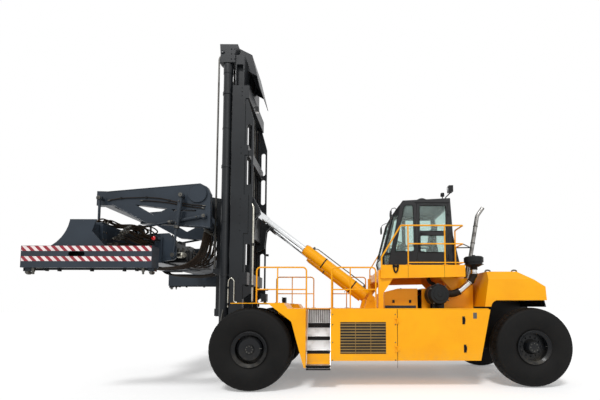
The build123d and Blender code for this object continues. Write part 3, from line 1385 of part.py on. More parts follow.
# Inner mast: H-section uprights, cross members, crosshead and rods
with BuildPart() as inner_mast:
    inner_x0, inner_x1 = INNER_FRONT_X, INNER_REAR_X
    height = (INNER_BOTTOM_Z, INNER_TOP_Z)
    for side in (-1, 1):
        web = sorted((side * INNER_WEB_Y, side * (INNER_WEB_Y + INNER_WEB)))
        flange = sorted((side * INNER_FLANGE_Y0, side * INNER_FLANGE_Y1))
        block((inner_x0, inner_x1), web, height)
        block((inner_x0, inner_x0 + INNER_FLANGE), flange, height)
        block((inner_x1 - INNER_FLANGE, inner_x1), flange, height)
    for z0, z1 in ((INNER_BOTTOM_Z, INNER_BOTTOM_Z + 300), (5750, 5950), (INNER_TOP_Z - 350, INNER_TOP_Z)):
        block((inner_x1 - INNER_FLANGE, inner_x1), (-INNER_FLANGE_Y1, INNER_FLANGE_Y1), (z0, z1))
    block((inner_x0, inner_x1), (-INNER_FLANGE_Y1, INNER_FLANGE_Y1), (INNER_TOP_Z, CROSSHEAD_TOP_Z - 250))
    # Crosshead over the lift rods, with cheeks for the chain sheaves
    for side in (-1, 1):
        side_profile(
            [
                (LIFT_X - 190, CROSSHEAD_TOP_Z),
                (LIFT_X - 160, INNER_TOP_Z + 30),
                (inner_x0, INNER_TOP_Z + 30),
                (inner_x0, CROSSHEAD_TOP_Z - 200),
                (inner_x0 + 60, CROSSHEAD_TOP_Z),
            ],
            *sorted((side * 660, side * OUTER_MAST_Y)),
        )
        for y0 in (CHAIN_Y - 75, CHAIN_Y + 45):
            side_profile(
                [
                    (inner_x0, INNER_TOP_Z + 60),
                    (SHEAVE_X - 40, SHEAVE_Z - 90),
                    (SHEAVE_X - 60, SHEAVE_Z + 40),
                    (SHEAVE_X + 60, SHEAVE_Z + 90),
                    (inner_x0, CROSSHEAD_TOP_Z - 260),
                ],
                *sorted((side * y0, side * (y0 + 30))),
            )
        for half_width, radius in ((75, 40), (34, SHEAVE_RADIUS)):
            inner, outer = side * (CHAIN_Y - half_width), side * (CHAIN_Y + half_width)
            rod((SHEAVE_X, inner, SHEAVE_Z), (SHEAVE_X, outer, SHEAVE_Z), radius)
    bar_x = SHEAVE_X + SHEAVE_RADIUS + CHAIN_THICKNESS + 15
    block((bar_x, inner_x0), (-660, 660), (INNER_TOP_Z + 60, INNER_TOP_Z + 220))
    # Bent hose guard behind the crosshead
    guard_outline = [
        (-2363, CROSSHEAD_TOP_Z + 190),
        (-1944, CROSSHEAD_TOP_Z - 24),
        (-1724, CROSSHEAD_TOP_Z - 915),
        (-1738, CROSSHEAD_TOP_Z - 918),
        (-1954, CROSSHEAD_TOP_Z - 34),
        (-2358, CROSSHEAD_TOP_Z + 176),
    ]
    side_profile(guard_outline, -560, 560)
    for side in (-1, 1):
        side_profile(
            [
                (inner_x1, INNER_TOP_Z + 50),
                (inner_x1, INNER_TOP_Z + 230),
                (-2200, INNER_TOP_Z + 250),
                (-2300, CROSSHEAD_TOP_Z + 150),
                (-1954, CROSSHEAD_TOP_Z - 34),
                (-1820, CROSSHEAD_TOP_Z - 590),
            ],
            *sorted((side * 545, side * 557)),
        )
save(inner_mast.part, "inner_mast")

# Lift rods and their pistons
with BuildPart() as lift_rods:
    for side in (-1, 1):
        foot = OUTER_BOTTOM_Z + 130
        rod((LIFT_X, side * LIFT_Y, foot), (LIFT_X, side * LIFT_Y, INNER_TOP_Z + 30), LIFT_ROD_RADIUS)
        rod((LIFT_X, side * LIFT_Y, foot), (LIFT_X, side * LIFT_Y, foot + 90), LIFT_BORE_RADIUS - BEARING_GAP)
save(lift_rods.part, "lift_rods")

# Lift chains: the front strands down to the carriage, and the strands behind with the turn over the sheaves
with BuildPart() as front_strands:
    for side in (-1, 1):
        block(
            (CHAIN_X - CHAIN_THICKNESS / 2, CHAIN_X + CHAIN_THICKNESS / 2),
            sorted((side * (CHAIN_Y - CHAIN_WIDTH / 2), side * (CHAIN_Y + CHAIN_WIDTH / 2))),
            (CHAIN_ANCHOR_Z, SHEAVE_Z),
        )
save(front_strands.part, "chain_front_strands")

with BuildPart() as rear_strands:
    for side in (-1, 1):
        y0, y1 = side * (CHAIN_Y - CHAIN_WIDTH / 2), side * (CHAIN_Y + CHAIN_WIDTH / 2)
        rod((SHEAVE_X, y0, SHEAVE_Z), (SHEAVE_X, y1, SHEAVE_Z), SHEAVE_RADIUS + CHAIN_THICKNESS)
        block((SHEAVE_X - 300, SHEAVE_X + 300), sorted((y0, y1)), (SHEAVE_Z - 300, SHEAVE_Z), Mode.SUBTRACT)
        rod((SHEAVE_X, y0, SHEAVE_Z), (SHEAVE_X, y1, SHEAVE_Z), SHEAVE_RADIUS, Mode.SUBTRACT)
        block(
            (SHEAVE_X + SHEAVE_RADIUS, SHEAVE_X + SHEAVE_RADIUS + CHAIN_THICKNESS),
            sorted((y0, y1)),
            (REAR_STRAND_END_Z, SHEAVE_Z),
        )
save(rear_strands.part, "chain_rear_strands")

# Carriage: roller plates in the inner mast, cross beams, and two carriers for the side-shift shaft
with BuildPart() as carriage:
    for side in (-1, 1):
        block(
            (CARRIAGE_FRONT_X, ROLLER_X + ROLLER_RADIUS - 10),
            sorted((side * CARRIAGE_PLATE_Y, side * (CARRIAGE_PLATE_Y + CARRIAGE_PLATE))),
            (CARRIAGE_BOTTOM_Z, ROLLER_PLATE_TOP_Z),
        )
        for z in (CARRIAGE_BOTTOM_Z + ROLLER_RADIUS + 40, ROLLER_PLATE_TOP_Z - ROLLER_RADIUS - 40):
            rod((ROLLER_X, side * CARRIAGE_PLATE_Y, z), (ROLLER_X, side * 660, z), 45)
            rod((ROLLER_X, side * 650, z), (ROLLER_X, side * (650 + ROLLER_WIDTH), z), ROLLER_RADIUS)
        # Carrier: a plate up to the shaft's eye
        with BuildSketch(Plane.XZ.offset(-min(side * CARRIER_Y0, side * CARRIER_Y1))):
            with BuildLine():
                Polyline(
                    (CARRIAGE_FRONT_X, CARRIAGE_BOTTOM_Z + 20),
                    (CARRIER_FRONT_X, CARRIAGE_BOTTOM_Z + 20),
                    (CARRIER_FRONT_X, 3950),
                    (SHAFT_X - 150, SHAFT_Z - 90),
                    (SHAFT_X - 60, SHAFT_Z + 160),
                    (CARRIAGE_FRONT_X - 40, SHAFT_Z + 90),
                    (CARRIAGE_FRONT_X, SHAFT_Z - 80),
                    close=True,
                )
            make_face()
            with Locations((SHAFT_X, SHAFT_Z)):
                Circle(170)
                Circle(SHAFT_RADIUS + BEARING_GAP, mode=Mode.SUBTRACT)
        extrude(amount=-(CARRIER_Y1 - CARRIER_Y0))
        block(
            (CHAIN_X - CHAIN_THICKNESS, CARRIAGE_FRONT_X - CARRIAGE_BEAM),
            sorted((side * (CHAIN_Y - CHAIN_WIDTH / 2 - 6), side * (CHAIN_Y + CHAIN_WIDTH / 2 + 6))),
            (CHAIN_ANCHOR_Z - 110, CHAIN_ANCHOR_Z),
        )
    for z0, z1 in ((1540, 1720), (2560, 2720)):
        block(
            (CARRIAGE_FRONT_X - CARRIAGE_BEAM, CARRIAGE_FRONT_X),
            (-CARRIAGE_PLATE_Y - CARRIAGE_PLATE, CARRIAGE_PLATE_Y + CARRIAGE_PLATE),
            (z0, z1),
        )
    block((CARRIAGE_FRONT_X - CARRIAGE_BEAM, CARRIAGE_FRONT_X), (-CARRIER_Y0, CARRIER_Y0), (4000, 4200))
save(carriage.part, "carriage")

# Arms: two open side arms on the sliding shaft, a cross beam at their tips and a tie low at the back
ARM_SIDE = [
    (ARM_TIP_X, 4536),
    (ARM_TIP_X, 4186),
    (-5109, 4191),
    (-4320, 3767),
    (-2763, 3650),
    (-2781, 4489),
    (-2860, 4650),
    (-3028, 4735),
    (-5234, 4530),
]
ARM_OPENINGS = (
    [(-4566, 4212), (-3800, 4118), (-4118, 3954)],
    [(-3700, 4100), (-3090, 4085), (-3130, 4030), (-3640, 4045)],
)
with BuildPart() as arms:
    for side in (-1, 1):
        side_profile(ARM_SIDE, *sorted((side * ARM_INNER_Y, side * ARM_OUTER_Y)))
        for opening in ARM_OPENINGS:
            side_profile(opening, *sorted((side * ARM_INNER_Y, side * ARM_OUTER_Y)), Mode.SUBTRACT)
        hub_y0, hub_y1 = side * (ARM_INNER_Y - 10), side * (ARM_OUTER_Y + 30)
        rod((SHAFT_X, hub_y0, SHAFT_Z), (SHAFT_X, hub_y1, SHAFT_Z), 215)
    rod((SHAFT_X, -ARM_INNER_Y, SHAFT_Z), (SHAFT_X, ARM_INNER_Y, SHAFT_Z), SHAFT_RADIUS)
    block((ARM_TIP_X + 20, -5260), (-ARM_INNER_Y, ARM_INNER_Y), (4230, 4500))
    block((CARRIER_FRONT_X - 150, CARRIER_FRONT_X - 1), (-ARM_INNER_Y, ARM_INNER_Y), (3680, 3860))
    # Pins of the hangers and of the pile-slope cylinders
    for side in (-1, 1):
        for (x, z), radius, eye_y in (
            (FRONT_HANGER[0], FRONT_HANGER_PIN, HANGER_Y),
            (REAR_HANGER[0], REAR_HANGER_PIN, HANGER_Y),
            (SLOPE_CYLINDER[0], SLOPE_PIN, SLOPE_CYLINDER_Y),
        ):
            rod((x, side * (ARM_OUTER_Y - 10), z), (x, side * (eye_y + 50), z), radius)
save(arms.part, "arms")

# Hangers between the arms and the spreader: plain links in front, cylinders behind and along each arm
with BuildPart() as hangers:
    for side in (-1, 1):
        for (top_point, foot_point), eye, barrel, eye_y in (
            (FRONT_HANGER, FRONT_HANGER_PIN, 0, HANGER_Y),
            (REAR_HANGER, REAR_HANGER_PIN, 52, HANGER_Y),
            (SLOPE_CYLINDER, SLOPE_PIN, 38, SLOPE_CYLINDER_Y),
        ):
            y = side * eye_y
            top, foot = Vector(top_point[0], y, top_point[1]), Vector(foot_point[0], y, foot_point[1])
            middle = top + (foot - top) * 0.55
            rod(tuple(top), tuple(foot), 28)
            if barrel:
                rod(tuple(top + (foot - top) * 0.06), tuple(middle), barrel)
            for centre in (top, foot):
                rod((centre.X, y - 30, centre.Z), (centre.X, y + 30, centre.Z), eye + 34)
            for centre in (top, foot):
                rod((centre.X, y - 60, centre.Z), (centre.X, y + 60, centre.Z), eye, Mode.SUBTRACT)
save(hangers.part, "hangers")

# Spreader frame: two box channels side by side, one for each telescopic beam, with hanger brackets
with BuildPart() as spreader_frame:
    inner_half = CHANNEL_WIDTH / 2 - CHANNEL_WALL
    for centre_x, side in ((FRONT_CHANNEL_X, -1), (REAR_CHANNEL_X, 1)):
        mouth, closed = side * MAIN_HALF_LENGTH, -side * CLOSED_END_Y
        block(
            (centre_x - CHANNEL_WIDTH / 2, centre_x + CHANNEL_WIDTH / 2),
            (mouth, closed),
            (CHANNEL_BOTTOM_Z, CHANNEL_TOP_Z),
        )
        block(
            (centre_x - inner_half, centre_x + inner_half),
            (mouth + side, closed + side * CHANNEL_WALL),
            (CHANNEL_BOTTOM_Z + CHANNEL_WALL, CHANNEL_TOP_Z - CHANNEL_WALL),
            Mode.SUBTRACT,
        )
        # Wear pads at the mouth, under, over and beside the beam
        pad_y = (mouth, mouth - side * 180)
        pad = TELESCOPE_GAP - SLIDE_GAP
        low_z, high_z = CHANNEL_BOTTOM_Z + CHANNEL_WALL, CHANNEL_TOP_Z - CHANNEL_WALL
        for z in ((low_z, low_z + pad), (high_z - pad, high_z)):
            block((centre_x - 120, centre_x + 120), pad_y, z)
        for edge in (-1, 1):
            pad_x = (centre_x + edge * inner_half, centre_x + edge * (inner_half - pad))
            block(pad_x, pad_y, (low_z + 120, high_z - 120))
    gap_x = (FRONT_CHANNEL_X + CHANNEL_WIDTH / 2, REAR_CHANNEL_X - CHANNEL_WIDTH / 2)
    for y in (-1000, -330, 330, 1000):
        block(gap_x, (y - 60, y + 60), (CHANNEL_BOTTOM_Z + 20, CHANNEL_TOP_Z - 20))
    front_face_x = FRONT_CHANNEL_X - CHANNEL_WIDTH / 2
    rear_face_x = REAR_CHANNEL_X + CHANNEL_WIDTH / 2
    for side in (-1, 1):
        bracket = sorted((side * (HANGER_Y - 85), side * (HANGER_Y - 35)))
        side_profile(
            [
                (front_face_x, 3390),
                (-5320, 3410),
                (-5390, 3360),
                (-5390, 3290),
                (-5320, 3240),
                (front_face_x, 2830),
            ],
            *bracket,
        )
        side_profile(
            [
                (rear_face_x, 2830),
                (rear_face_x, CHANNEL_TOP_Z - 5),
                (-4170, CHANNEL_TOP_Z - 5),
                (-4170, CHANNEL_TOP_Z + 75),
                (-3690, CHANNEL_TOP_Z + 100),
                (-3580, 3360),
                (-3510, 3170),
                (-3500, 2930),
                (-3560, 2865),
            ],
            *bracket,
        )
        for (x, z), radius in ((FRONT_HANGER[1], FRONT_HANGER_PIN), (REAR_HANGER[1], REAR_HANGER_PIN)):
            rod((x, side * (HANGER_Y - 60), z), (x, side * (HANGER_Y + 50), z), radius)
        # Lug of the pile-slope cylinder
        x, z = SLOPE_CYLINDER[1]
        side_profile(
            [(x - 120, CHANNEL_TOP_Z - 5), (x - 50, z + 45), (x + 50, z + 45), (x + 130, CHANNEL_TOP_Z - 5)],
            *sorted((side * (SLOPE_CYLINDER_Y - 58), side * (SLOPE_CYLINDER_Y - 33))),
        )
        rod((x, side * (SLOPE_CYLINDER_Y - 50), z), (x, side * (SLOPE_CYLINDER_Y + 50), z), SLOPE_PIN)
    block((-5250, front_face_x), (-1000, 1000), (3160, 3190))
    block((-5180, -4820), (-420, 420), (3190, 3390))
save(spreader_frame.part, "spreader_frame")

# Telescopic ends: a hollow beam in its channel, a gusset, and the end beam with its twistlock housings
with BuildPart() as left_end:
    half_width = CHANNEL_WIDTH / 2 - CHANNEL_WALL - TELESCOPE_GAP
    beam_z = (CHANNEL_BOTTOM_Z + CHANNEL_WALL + TELESCOPE_GAP, CHANNEL_TOP_Z - CHANNEL_WALL - TELESCOPE_GAP)
    gusset_y = -TWISTLOCK_Y + 30
    block(
        (FRONT_CHANNEL_X - half_width, FRONT_CHANNEL_X + half_width),
        (gusset_y, -TELESCOPE_INNER_Y),
        beam_z,
    )
    block(
        (FRONT_CHANNEL_X - half_width + TELESCOPE_WALL, FRONT_CHANNEL_X + half_width - TELESCOPE_WALL),
        (gusset_y, -TELESCOPE_INNER_Y + 1),
        (beam_z[0] + TELESCOPE_WALL, beam_z[1] - TELESCOPE_WALL),
        Mode.SUBTRACT,
    )
    end_x = (SPREADER_X - END_BEAM_LENGTH / 2, SPREADER_X + END_BEAM_LENGTH / 2)
    end_y = (-TWISTLOCK_Y - END_BEAM_HALF_WIDTH, -TWISTLOCK_Y + END_BEAM_HALF_WIDTH)
    end_z = (END_BEAM_BOTTOM_Z, END_BEAM_TOP_Z)
    block(end_x, end_y, end_z)
    block(
        (end_x[0] + END_CAP, end_x[1] - END_CAP),
        (end_y[0] + END_BEAM_WALL, end_y[1] - END_BEAM_WALL),
        (end_z[0] + END_BEAM_WALL, end_z[1] - END_BEAM_WALL),
        Mode.SUBTRACT,
    )
    with BuildSketch(Plane.XZ.offset(TWISTLOCK_Y)):
        with BuildLine():
            Line((-4040, END_BEAM_TOP_Z), (-5090, END_BEAM_TOP_Z))
            ThreePointArc((-5090, END_BEAM_TOP_Z), (-4850, 3080), (-4717, CHANNEL_TOP_Z))
            Line((-4717, CHANNEL_TOP_Z), (-4230, CHANNEL_TOP_Z))
            Line((-4230, CHANNEL_TOP_Z), (-4304, 3171))
            Line((-4304, 3171), (-4040, END_BEAM_TOP_Z))
        make_face()
    extrude(amount=-30)
    with BuildSketch(Plane.XZ.offset(-end_y[0])):
        with Locations((-4478, 2730)):
            SlotOverall(300, 90)
    extrude(amount=-END_BEAM_WALL - 5, mode=Mode.SUBTRACT)
    for x in (SPREADER_X - TWISTLOCK_PITCH_X / 2, SPREADER_X + TWISTLOCK_PITCH_X / 2):
        guide_z = (TWISTLOCK_BOTTOM_Z + 62, END_BEAM_BOTTOM_Z)
        block((x - 62, x + 62), (-TWISTLOCK_Y - 31, -TWISTLOCK_Y + 31), guide_z)
        rod(
            (x, -TWISTLOCK_Y, TWISTLOCK_BOTTOM_Z),
            (x, -TWISTLOCK_Y, END_BEAM_BOTTOM_Z + 60),
            TWISTLOCK_RADIUS + BEARING_GAP,
            Mode.SUBTRACT,
        )
save(left_end.part, "spreader_end_left")
right_end = left_end.part.rotate(Axis((SPREADER_X, 0, 0), (0, 0, 1)), 180)
save(right_end, "spreader_end_right")

# Twistlocks: shaft, collar inside the beam and locking head
for name, x_side, y_side in (
    ("left_front", -1, -1),
    ("left_rear", 1, -1),
    ("right_front", -1, 1),
    ("right_rear", 1, 1),
):
    x, y = SPREADER_X + x_side * TWISTLOCK_PITCH_X / 2, y_side * TWISTLOCK_Y
    with BuildPart() as twistlock:
        rod((x, y, TWISTLOCK_BOTTOM_Z + 40), (x, y, 2660), TWISTLOCK_RADIUS)
        rod((x, y, END_BEAM_BOTTOM_Z + END_BEAM_WALL + 1), (x, y, 2560), 38)
        block((x - 28, x + 28), (y - 52, y + 52), (TWISTLOCK_BOTTOM_Z + 25, TWISTLOCK_BOTTOM_Z + 56))
        with BuildSketch(Plane.XY.offset(TWISTLOCK_BOTTOM_Z)):
            with Locations((x, y)):
                Rectangle(34, 44)
        with BuildSketch(Plane.XY.offset(TWISTLOCK_BOTTOM_Z + 25)):
            with Locations((x, y)):
                Rectangle(56, 104)
        loft()
    save(twistlock.part, f"twistlock_{name}")
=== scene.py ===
"""The looks of a top-lift container handler: its paints, rubber, glass and small fittings.

Sizes are in metres in the truck's own frame: it faces -X, its left side is -Y, and it stands on Z = 0.
"""

import math

import bmesh
import bpy
import numpy as np
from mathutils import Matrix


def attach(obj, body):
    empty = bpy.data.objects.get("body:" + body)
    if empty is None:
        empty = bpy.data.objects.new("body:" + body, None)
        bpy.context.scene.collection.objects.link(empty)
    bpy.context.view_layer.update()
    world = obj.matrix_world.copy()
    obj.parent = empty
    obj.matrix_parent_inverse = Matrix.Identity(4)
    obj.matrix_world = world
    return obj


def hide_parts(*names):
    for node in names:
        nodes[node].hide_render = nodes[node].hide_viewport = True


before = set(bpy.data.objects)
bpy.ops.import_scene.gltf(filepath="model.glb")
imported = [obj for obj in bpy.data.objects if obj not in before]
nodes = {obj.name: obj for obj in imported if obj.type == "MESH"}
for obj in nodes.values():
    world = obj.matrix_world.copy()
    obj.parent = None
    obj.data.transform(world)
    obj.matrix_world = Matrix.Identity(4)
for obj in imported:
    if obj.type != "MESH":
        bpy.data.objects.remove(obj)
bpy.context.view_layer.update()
SIDES = (("left", -1), ("right", 1))


# Colours and shader nodes
GRIME_TOP = 0.9  # road film reaches this high


def linear(hex_colour):
    """An sRGB hex colour as linear RGBA."""
    value = int(hex_colour.lstrip("#"), 16)
    channels = [((value >> shift) & 255) / 255 for shift in (16, 8, 0)]
    return (*(c / 12.92 if c <= 0.04045 else ((c + 0.055) / 1.055) ** 2.4 for c in channels), 1.0)


def new_material(name):
    """An empty node material; returns it, its tree and its Principled shader."""
    material = bpy.data.materials.new(name)
    material.use_nodes = True
    tree = material.node_tree
    tree.nodes.clear()
    output = tree.nodes.new("ShaderNodeOutputMaterial")
    shader = tree.nodes.new("ShaderNodeBsdfPrincipled")
    tree.links.new(shader.outputs[0], output.inputs[0])
    return material, tree, shader


def feed(tree, node, sockets):
    """Sets a node's inputs to the values given, or links them to the outputs given."""
    for key, value in sockets.items():
        if isinstance(value, bpy.types.NodeSocket):
            tree.links.new(value, node.inputs[key])
        else:
            node.inputs[key].default_value = value


def add(tree, kind, sockets=None, **settings):
    """Adds a node: settings are its properties, sockets its input values or the outputs that feed them."""
    node = tree.nodes.new("ShaderNode" + kind)
    for key, value in settings.items():
        setattr(node, key, value)
    feed(tree, node, sockets or {})
    return node


def lay_dust(tree, shader, where, up, colour, dust, dust_share, roughness):
    """Lays dust on faces that look up and road film below GRIME_TOP over a colour, and roughens both."""
    height = add(tree, "SeparateXYZ", {0: where}).outputs[2]
    # dust drifts of 100 mm broken by grains of 10 mm
    grains = {"Vector": where, "Scale": 9.0, "Detail": 8.0, "Roughness": 0.7}
    drift = add(tree, "TexNoise", grains).outputs[0]
    patch = add(tree, "MapRange", {0: drift, 1: 0.42, 2: 0.7, 3: 0.1, 4: 1.0}).outputs[0]
    lying = add(tree, "MapRange", {0: up, 1: 0.5, 2: 1.0, 3: 0.0, 4: dust_share}).outputs[0]
    low = add(tree, "MapRange", {0: height, 1: GRIME_TOP, 2: 0.3, 3: 0.0, 4: 0.3}).outputs[0]
    amount = add(tree, "Math", {0: lying, 1: low}, operation="ADD").outputs[0]
    share = add(tree, "Math", {0: amount, 1: patch}, operation="MULTIPLY", use_clamp=True).outputs[0]
    mixed = add(tree, "Mix", {0: share, 6: colour, 7: linear(dust)}, data_type="RGBA")
    rough = add(tree, "MapRange", {0: share, 1: 0.0, 2: 0.6, 3: roughness, 4: 0.75}).outputs[0]
    feed(tree, shader, {"Base Color": mixed.outputs[2], "Roughness": rough})


def sprayed_enamel(name, base, shade, roughness, dust="#8C8474", dust_share=0.25, plate=False):
    """Two-pack enamel sprayed on steel: an even, softly glossy coat with orange peel."""
    material, tree, shader = new_material(name)
    where = add(tree, "TexCoord").outputs["Object"]
    up = add(tree, "SeparateXYZ", {0: add(tree, "NewGeometry").outputs["Normal"]}).outputs[2]
    # the coat's thickness varies in clouds of about 0.7 m, which the eye reads as slightly uneven colour
    soft = {"Vector": where, "Scale": 1.4, "Detail": 4.0, "Roughness": 0.6}
    clouds = add(tree, "TexNoise", soft).outputs[0]
    even = add(tree, "MapRange", {0: clouds, 1: 0.3, 2: 0.62}).outputs[0]
    coat = add(tree, "Mix", {0: even, 6: linear(shade), 7: linear(base)}, data_type="RGBA").outputs[2]
    lay_dust(tree, shader, where, up, coat, dust, dust_share, roughness)
    # orange peel is about 2 mm across; it is drawn at 12 mm, as coarse as it needs to show
    peel = add(tree, "TexNoise", {"Vector": where, "Scale": 80.0, "Detail": 2.0}).outputs[0]
    bump = add(tree, "Bump", {"Strength": 0.06, "Distance": 0.002, "Height": peel})
    if plate:
        # raised lozenges of chequer plate, 40 mm apart, on faces that look up
        lattice = {0: where, "Rotation": (0, 0, math.pi / 4), "Scale": (25, 25, 0)}
        rows = add(tree, "Mapping", lattice).outputs[0]
        checks = add(tree, "TexVoronoi", {"Vector": rows, "Scale": 1.0, "Randomness": 0.0}).outputs[0]
        lozenge = add(tree, "MapRange", {0: checks, 1: 0.22, 2: 0.34, 3: 1.0, 4: 0.0}).outputs[0]
        level = add(tree, "MapRange", {0: up, 1: 0.9, 2: 0.99}).outputs[0]
        raised = add(tree, "Math", {0: lozenge, 1: level}, operation="MULTIPLY").outputs[0]
        relief = {"Strength": 0.6, "Distance": 0.003, "Height": raised, "Normal": bump.outputs[0]}
        bump = add(tree, "Bump", relief)
    feed(tree, shader, {"Normal": bump.outputs[0], "IOR": 1.5, "Specular IOR Level": 0.2})
    feed(tree, shader, {"Coat Weight": 0.1, "Coat Roughness": 0.18})
    return material


def moulded_rubber(name, base, scuffed, grain=160.0):
    """Moulded rubber: near black and dull, greyed where it is scuffed."""
    material, tree, shader = new_material(name)
    where = add(tree, "TexCoord").outputs["Object"]
    scuffs = {"Vector": where, "Scale": 3.0, "Detail": 6.0, "Roughness": 0.65}
    clouds = add(tree, "TexNoise", scuffs).outputs[0]
    worn = add(tree, "MapRange", {0: clouds, 1: 0.35, 2: 0.75}).outputs[0]
    colour = add(tree, "Mix", {0: worn, 6: linear(base), 7: linear(scuffed)}, data_type="RGBA").outputs[2]
    rough = add(tree, "MapRange", {0: clouds, 1: 0.3, 2: 0.8, 3: 0.5, 4: 0.78}).outputs[0]
    # the mould's 0.5 mm texture, drawn at 6 mm
    pores = add(tree, "TexNoise", {"Vector": where, "Scale": grain, "Detail": 3.0}).outputs[0]
    bump = add(tree, "Bump", {"Strength": 0.15, "Distance": 0.002, "Height": pores}).outputs[0]
    looks = {"Base Color": colour, "Roughness": rough, "Normal": bump, "Specular IOR Level": 0.12}
    feed(tree, shader, looks)
    return material


def drawn_metal(name, base, roughness, along=(1.0, 1.0, 0.03), dulled=None):
    """Drawn, plated or ground metal: fine streaks along its length, stained in soft clouds."""
    material, tree, shader = new_material(name)
    where = add(tree, "TexCoord").outputs["Object"]
    stretched = add(tree, "Mapping", {0: where, "Scale": along}).outputs[0]
    streaks = add(tree, "TexNoise", {"Vector": stretched, "Scale": 180.0, "Detail": 3.0}).outputs[0]
    gloss = {0: streaks, 1: 0.3, 2: 0.7, 3: roughness * 0.7, 4: roughness * 1.4}
    rough = add(tree, "MapRange", gloss).outputs[0]
    clouds = add(tree, "TexNoise", {"Vector": where, "Scale": 6.0, "Detail": 6.0}).outputs[0]
    stain = add(tree, "MapRange", {0: clouds, 1: 0.5, 2: 0.8}).outputs[0]
    tones = {0: stain, 6: linear(base), 7: linear(dulled or base)}
    colour = add(tree, "Mix", tones, data_type="RGBA").outputs[2]
    feed(tree, shader, {"Base Color": colour, "Roughness": rough, "Metallic": 1.0})
    return material


def moulded_plastic(name, base, roughness, grain=320.0, strength=0.12):
    """Moulded plastic or vinyl: one colour, a leather grain of about 3 mm, gloss that varies with use."""
    material, tree, shader = new_material(name)
    where = add(tree, "TexCoord").outputs["Object"]
    clouds = add(tree, "TexNoise", {"Vector": where, "Scale": 5.0, "Detail": 5.0}).outputs[0]
    gloss = {0: clouds, 1: 0.3, 2: 0.7, 3: roughness * 0.85, 4: roughness * 1.2}
    rough = add(tree, "MapRange", gloss).outputs[0]
    cells = add(tree, "TexVoronoi", {"Vector": where, "Scale": grain}).outputs["Distance"]
    bump = add(tree, "Bump", {"Strength": strength, "Distance": 0.001, "Height": cells}).outputs[0]
    looks = {"Base Color": linear(base), "Roughness": rough, "Normal": bump, "Specular IOR Level": 0.2}
    feed(tree, shader, looks)
    return material


def float_glass(name, tint):
    """Float glass: clear with a tint, smooth, with a faint film of dust that dulls it in drifts.

    A thin pane hardly shifts the view through it, which the low IOR stands for.
    """
    material, tree, shader = new_material(name)
    where = add(tree, "TexCoord").outputs["Object"]
    film = add(tree, "TexNoise", {"Vector": where, "Scale": 4.0, "Detail": 5.0}).outputs[0]
    rough = add(tree, "MapRange", {0: film, 1: 0.35, 2: 0.75, 3: 0.01, 4: 0.06}).outputs[0]
    looks = {"Base Color": linear(tint), "Roughness": rough, "IOR": 1.1, "Transmission Weight": 0.9}
    feed(tree, shader, looks)
    return material


def lens(name, colour, glow=0.0):
    """A ribbed polycarbonate lamp lens: glossy, with moulded ribs 8 mm apart."""
    material, tree, shader = new_material(name)
    where = add(tree, "TexCoord").outputs["Object"]
    ribs = add(tree, "TexWave", {"Vector": where, "Scale": 20.0}, bands_direction="Z").outputs[1]
    bump = add(tree, "Bump", {"Strength": 0.4, "Distance": 0.002, "Height": ribs}).outputs[0]
    feed(tree, shader, {"Base Color": linear(colour), "Roughness": 0.12, "IOR": 1.58, "Normal": bump})
    feed(tree, shader, {"Emission Color": linear(colour), "Emission Strength": glow})
    return material


def striped_sheeting(name):
    """Reflective sheeting in red and white bands 74 mm wide that lean by 45 degrees across the board."""
    material, tree, shader = new_material(name)
    position = add(tree, "TexCoord").outputs["Object"]
    where = add(tree, "SeparateXYZ", {0: position}).outputs
    slanted = add(tree, "Math", {0: where[2], 1: where[0]}, operation="ADD").outputs[0]
    bands = add(tree, "Math", {0: slanted, 1: 1 / 0.148}, operation="MULTIPLY").outputs[0]
    place = add(tree, "Math", {0: bands}, operation="FRACT").outputs[0]
    edge = add(tree, "MapRange", {0: place, 1: 0.5, 2: 0.52}).outputs[0]
    tones = {0: edge, 6: linear("#8E1428"), 7: linear("#EBDCDB")}
    colour = add(tree, "Mix", tones, data_type="RGBA").outputs[2]
    # grime in clouds of 150 mm
    clouds = add(tree, "TexNoise", {"Vector": position, "Scale": 7.0, "Detail": 6.0}).outputs[0]
    dirt = add(tree, "MapRange", {0: clouds, 1: 0.45, 2: 0.8, 3: 0.0, 4: 0.35}).outputs[0]
    dirty = add(tree, "Mix", {0: dirt, 6: colour, 7: linear("#5A4A45")}, data_type="RGBA").outputs[2]
    # the sheeting's honeycomb is 3 mm across; it is drawn at 12 mm
    honeycomb = {"Vector": position, "Scale": 85.0}
    cells = add(tree, "TexVoronoi", honeycomb, feature="DISTANCE_TO_EDGE").outputs[0]
    bump = add(tree, "Bump", {"Strength": 0.1, "Distance": 0.001, "Height": cells}).outputs[0]
    feed(tree, shader, {"Base Color": dirty, "Roughness": 0.35, "Normal": bump})
    return material


# Finishes
AMBER = ("#F3A900", "#EE9F00")
amber = sprayed_enamel("amber_enamel_sprayed", *AMBER, 0.34)
amber_plate = sprayed_enamel("amber_enamel_on_chequer_plate", *AMBER, 0.38, dust_share=0.4, plate=True)
slate = sprayed_enamel("slate_enamel_sprayed", "#2E363F", "#262D35", 0.36, dust_share=0.12)
mast_enamel = sprayed_enamel("mast_enamel_sprayed", "#202326", "#191B1E", 0.38, dust_share=0.12)
# tan enamel for the louvre slats: the amber painted as in shade, with real dust laid over it
louvre_painted_shade = sprayed_enamel("louvre_enamel_painted_shade", "#8E7240", "#7A6238", 0.5, dust_share=0.3)
black_frame = sprayed_enamel("black_chassis_enamel", "#151617", "#101112", 0.5, "#6E675B", 0.35)
charcoal = sprayed_enamel("charcoal_cab_enamel", "#191A1C", "#141517", 0.4, dust_share=0.1)
rim_paint = sprayed_enamel("rim_enamel_sprayed", "#0E1013", "#0B0C0F", 0.42, dust_share=0.1)
tyre_rubber = moulded_rubber("tyre_rubber_moulded", "#0D0D0D", "#1A1918")
hose_rubber = moulded_rubber("hose_rubber_wrapped", "#17140F", "#33261B", grain=400.0)
seal_rubber = moulded_rubber("seal_rubber_extruded", "#121212", "#1D1D1D")
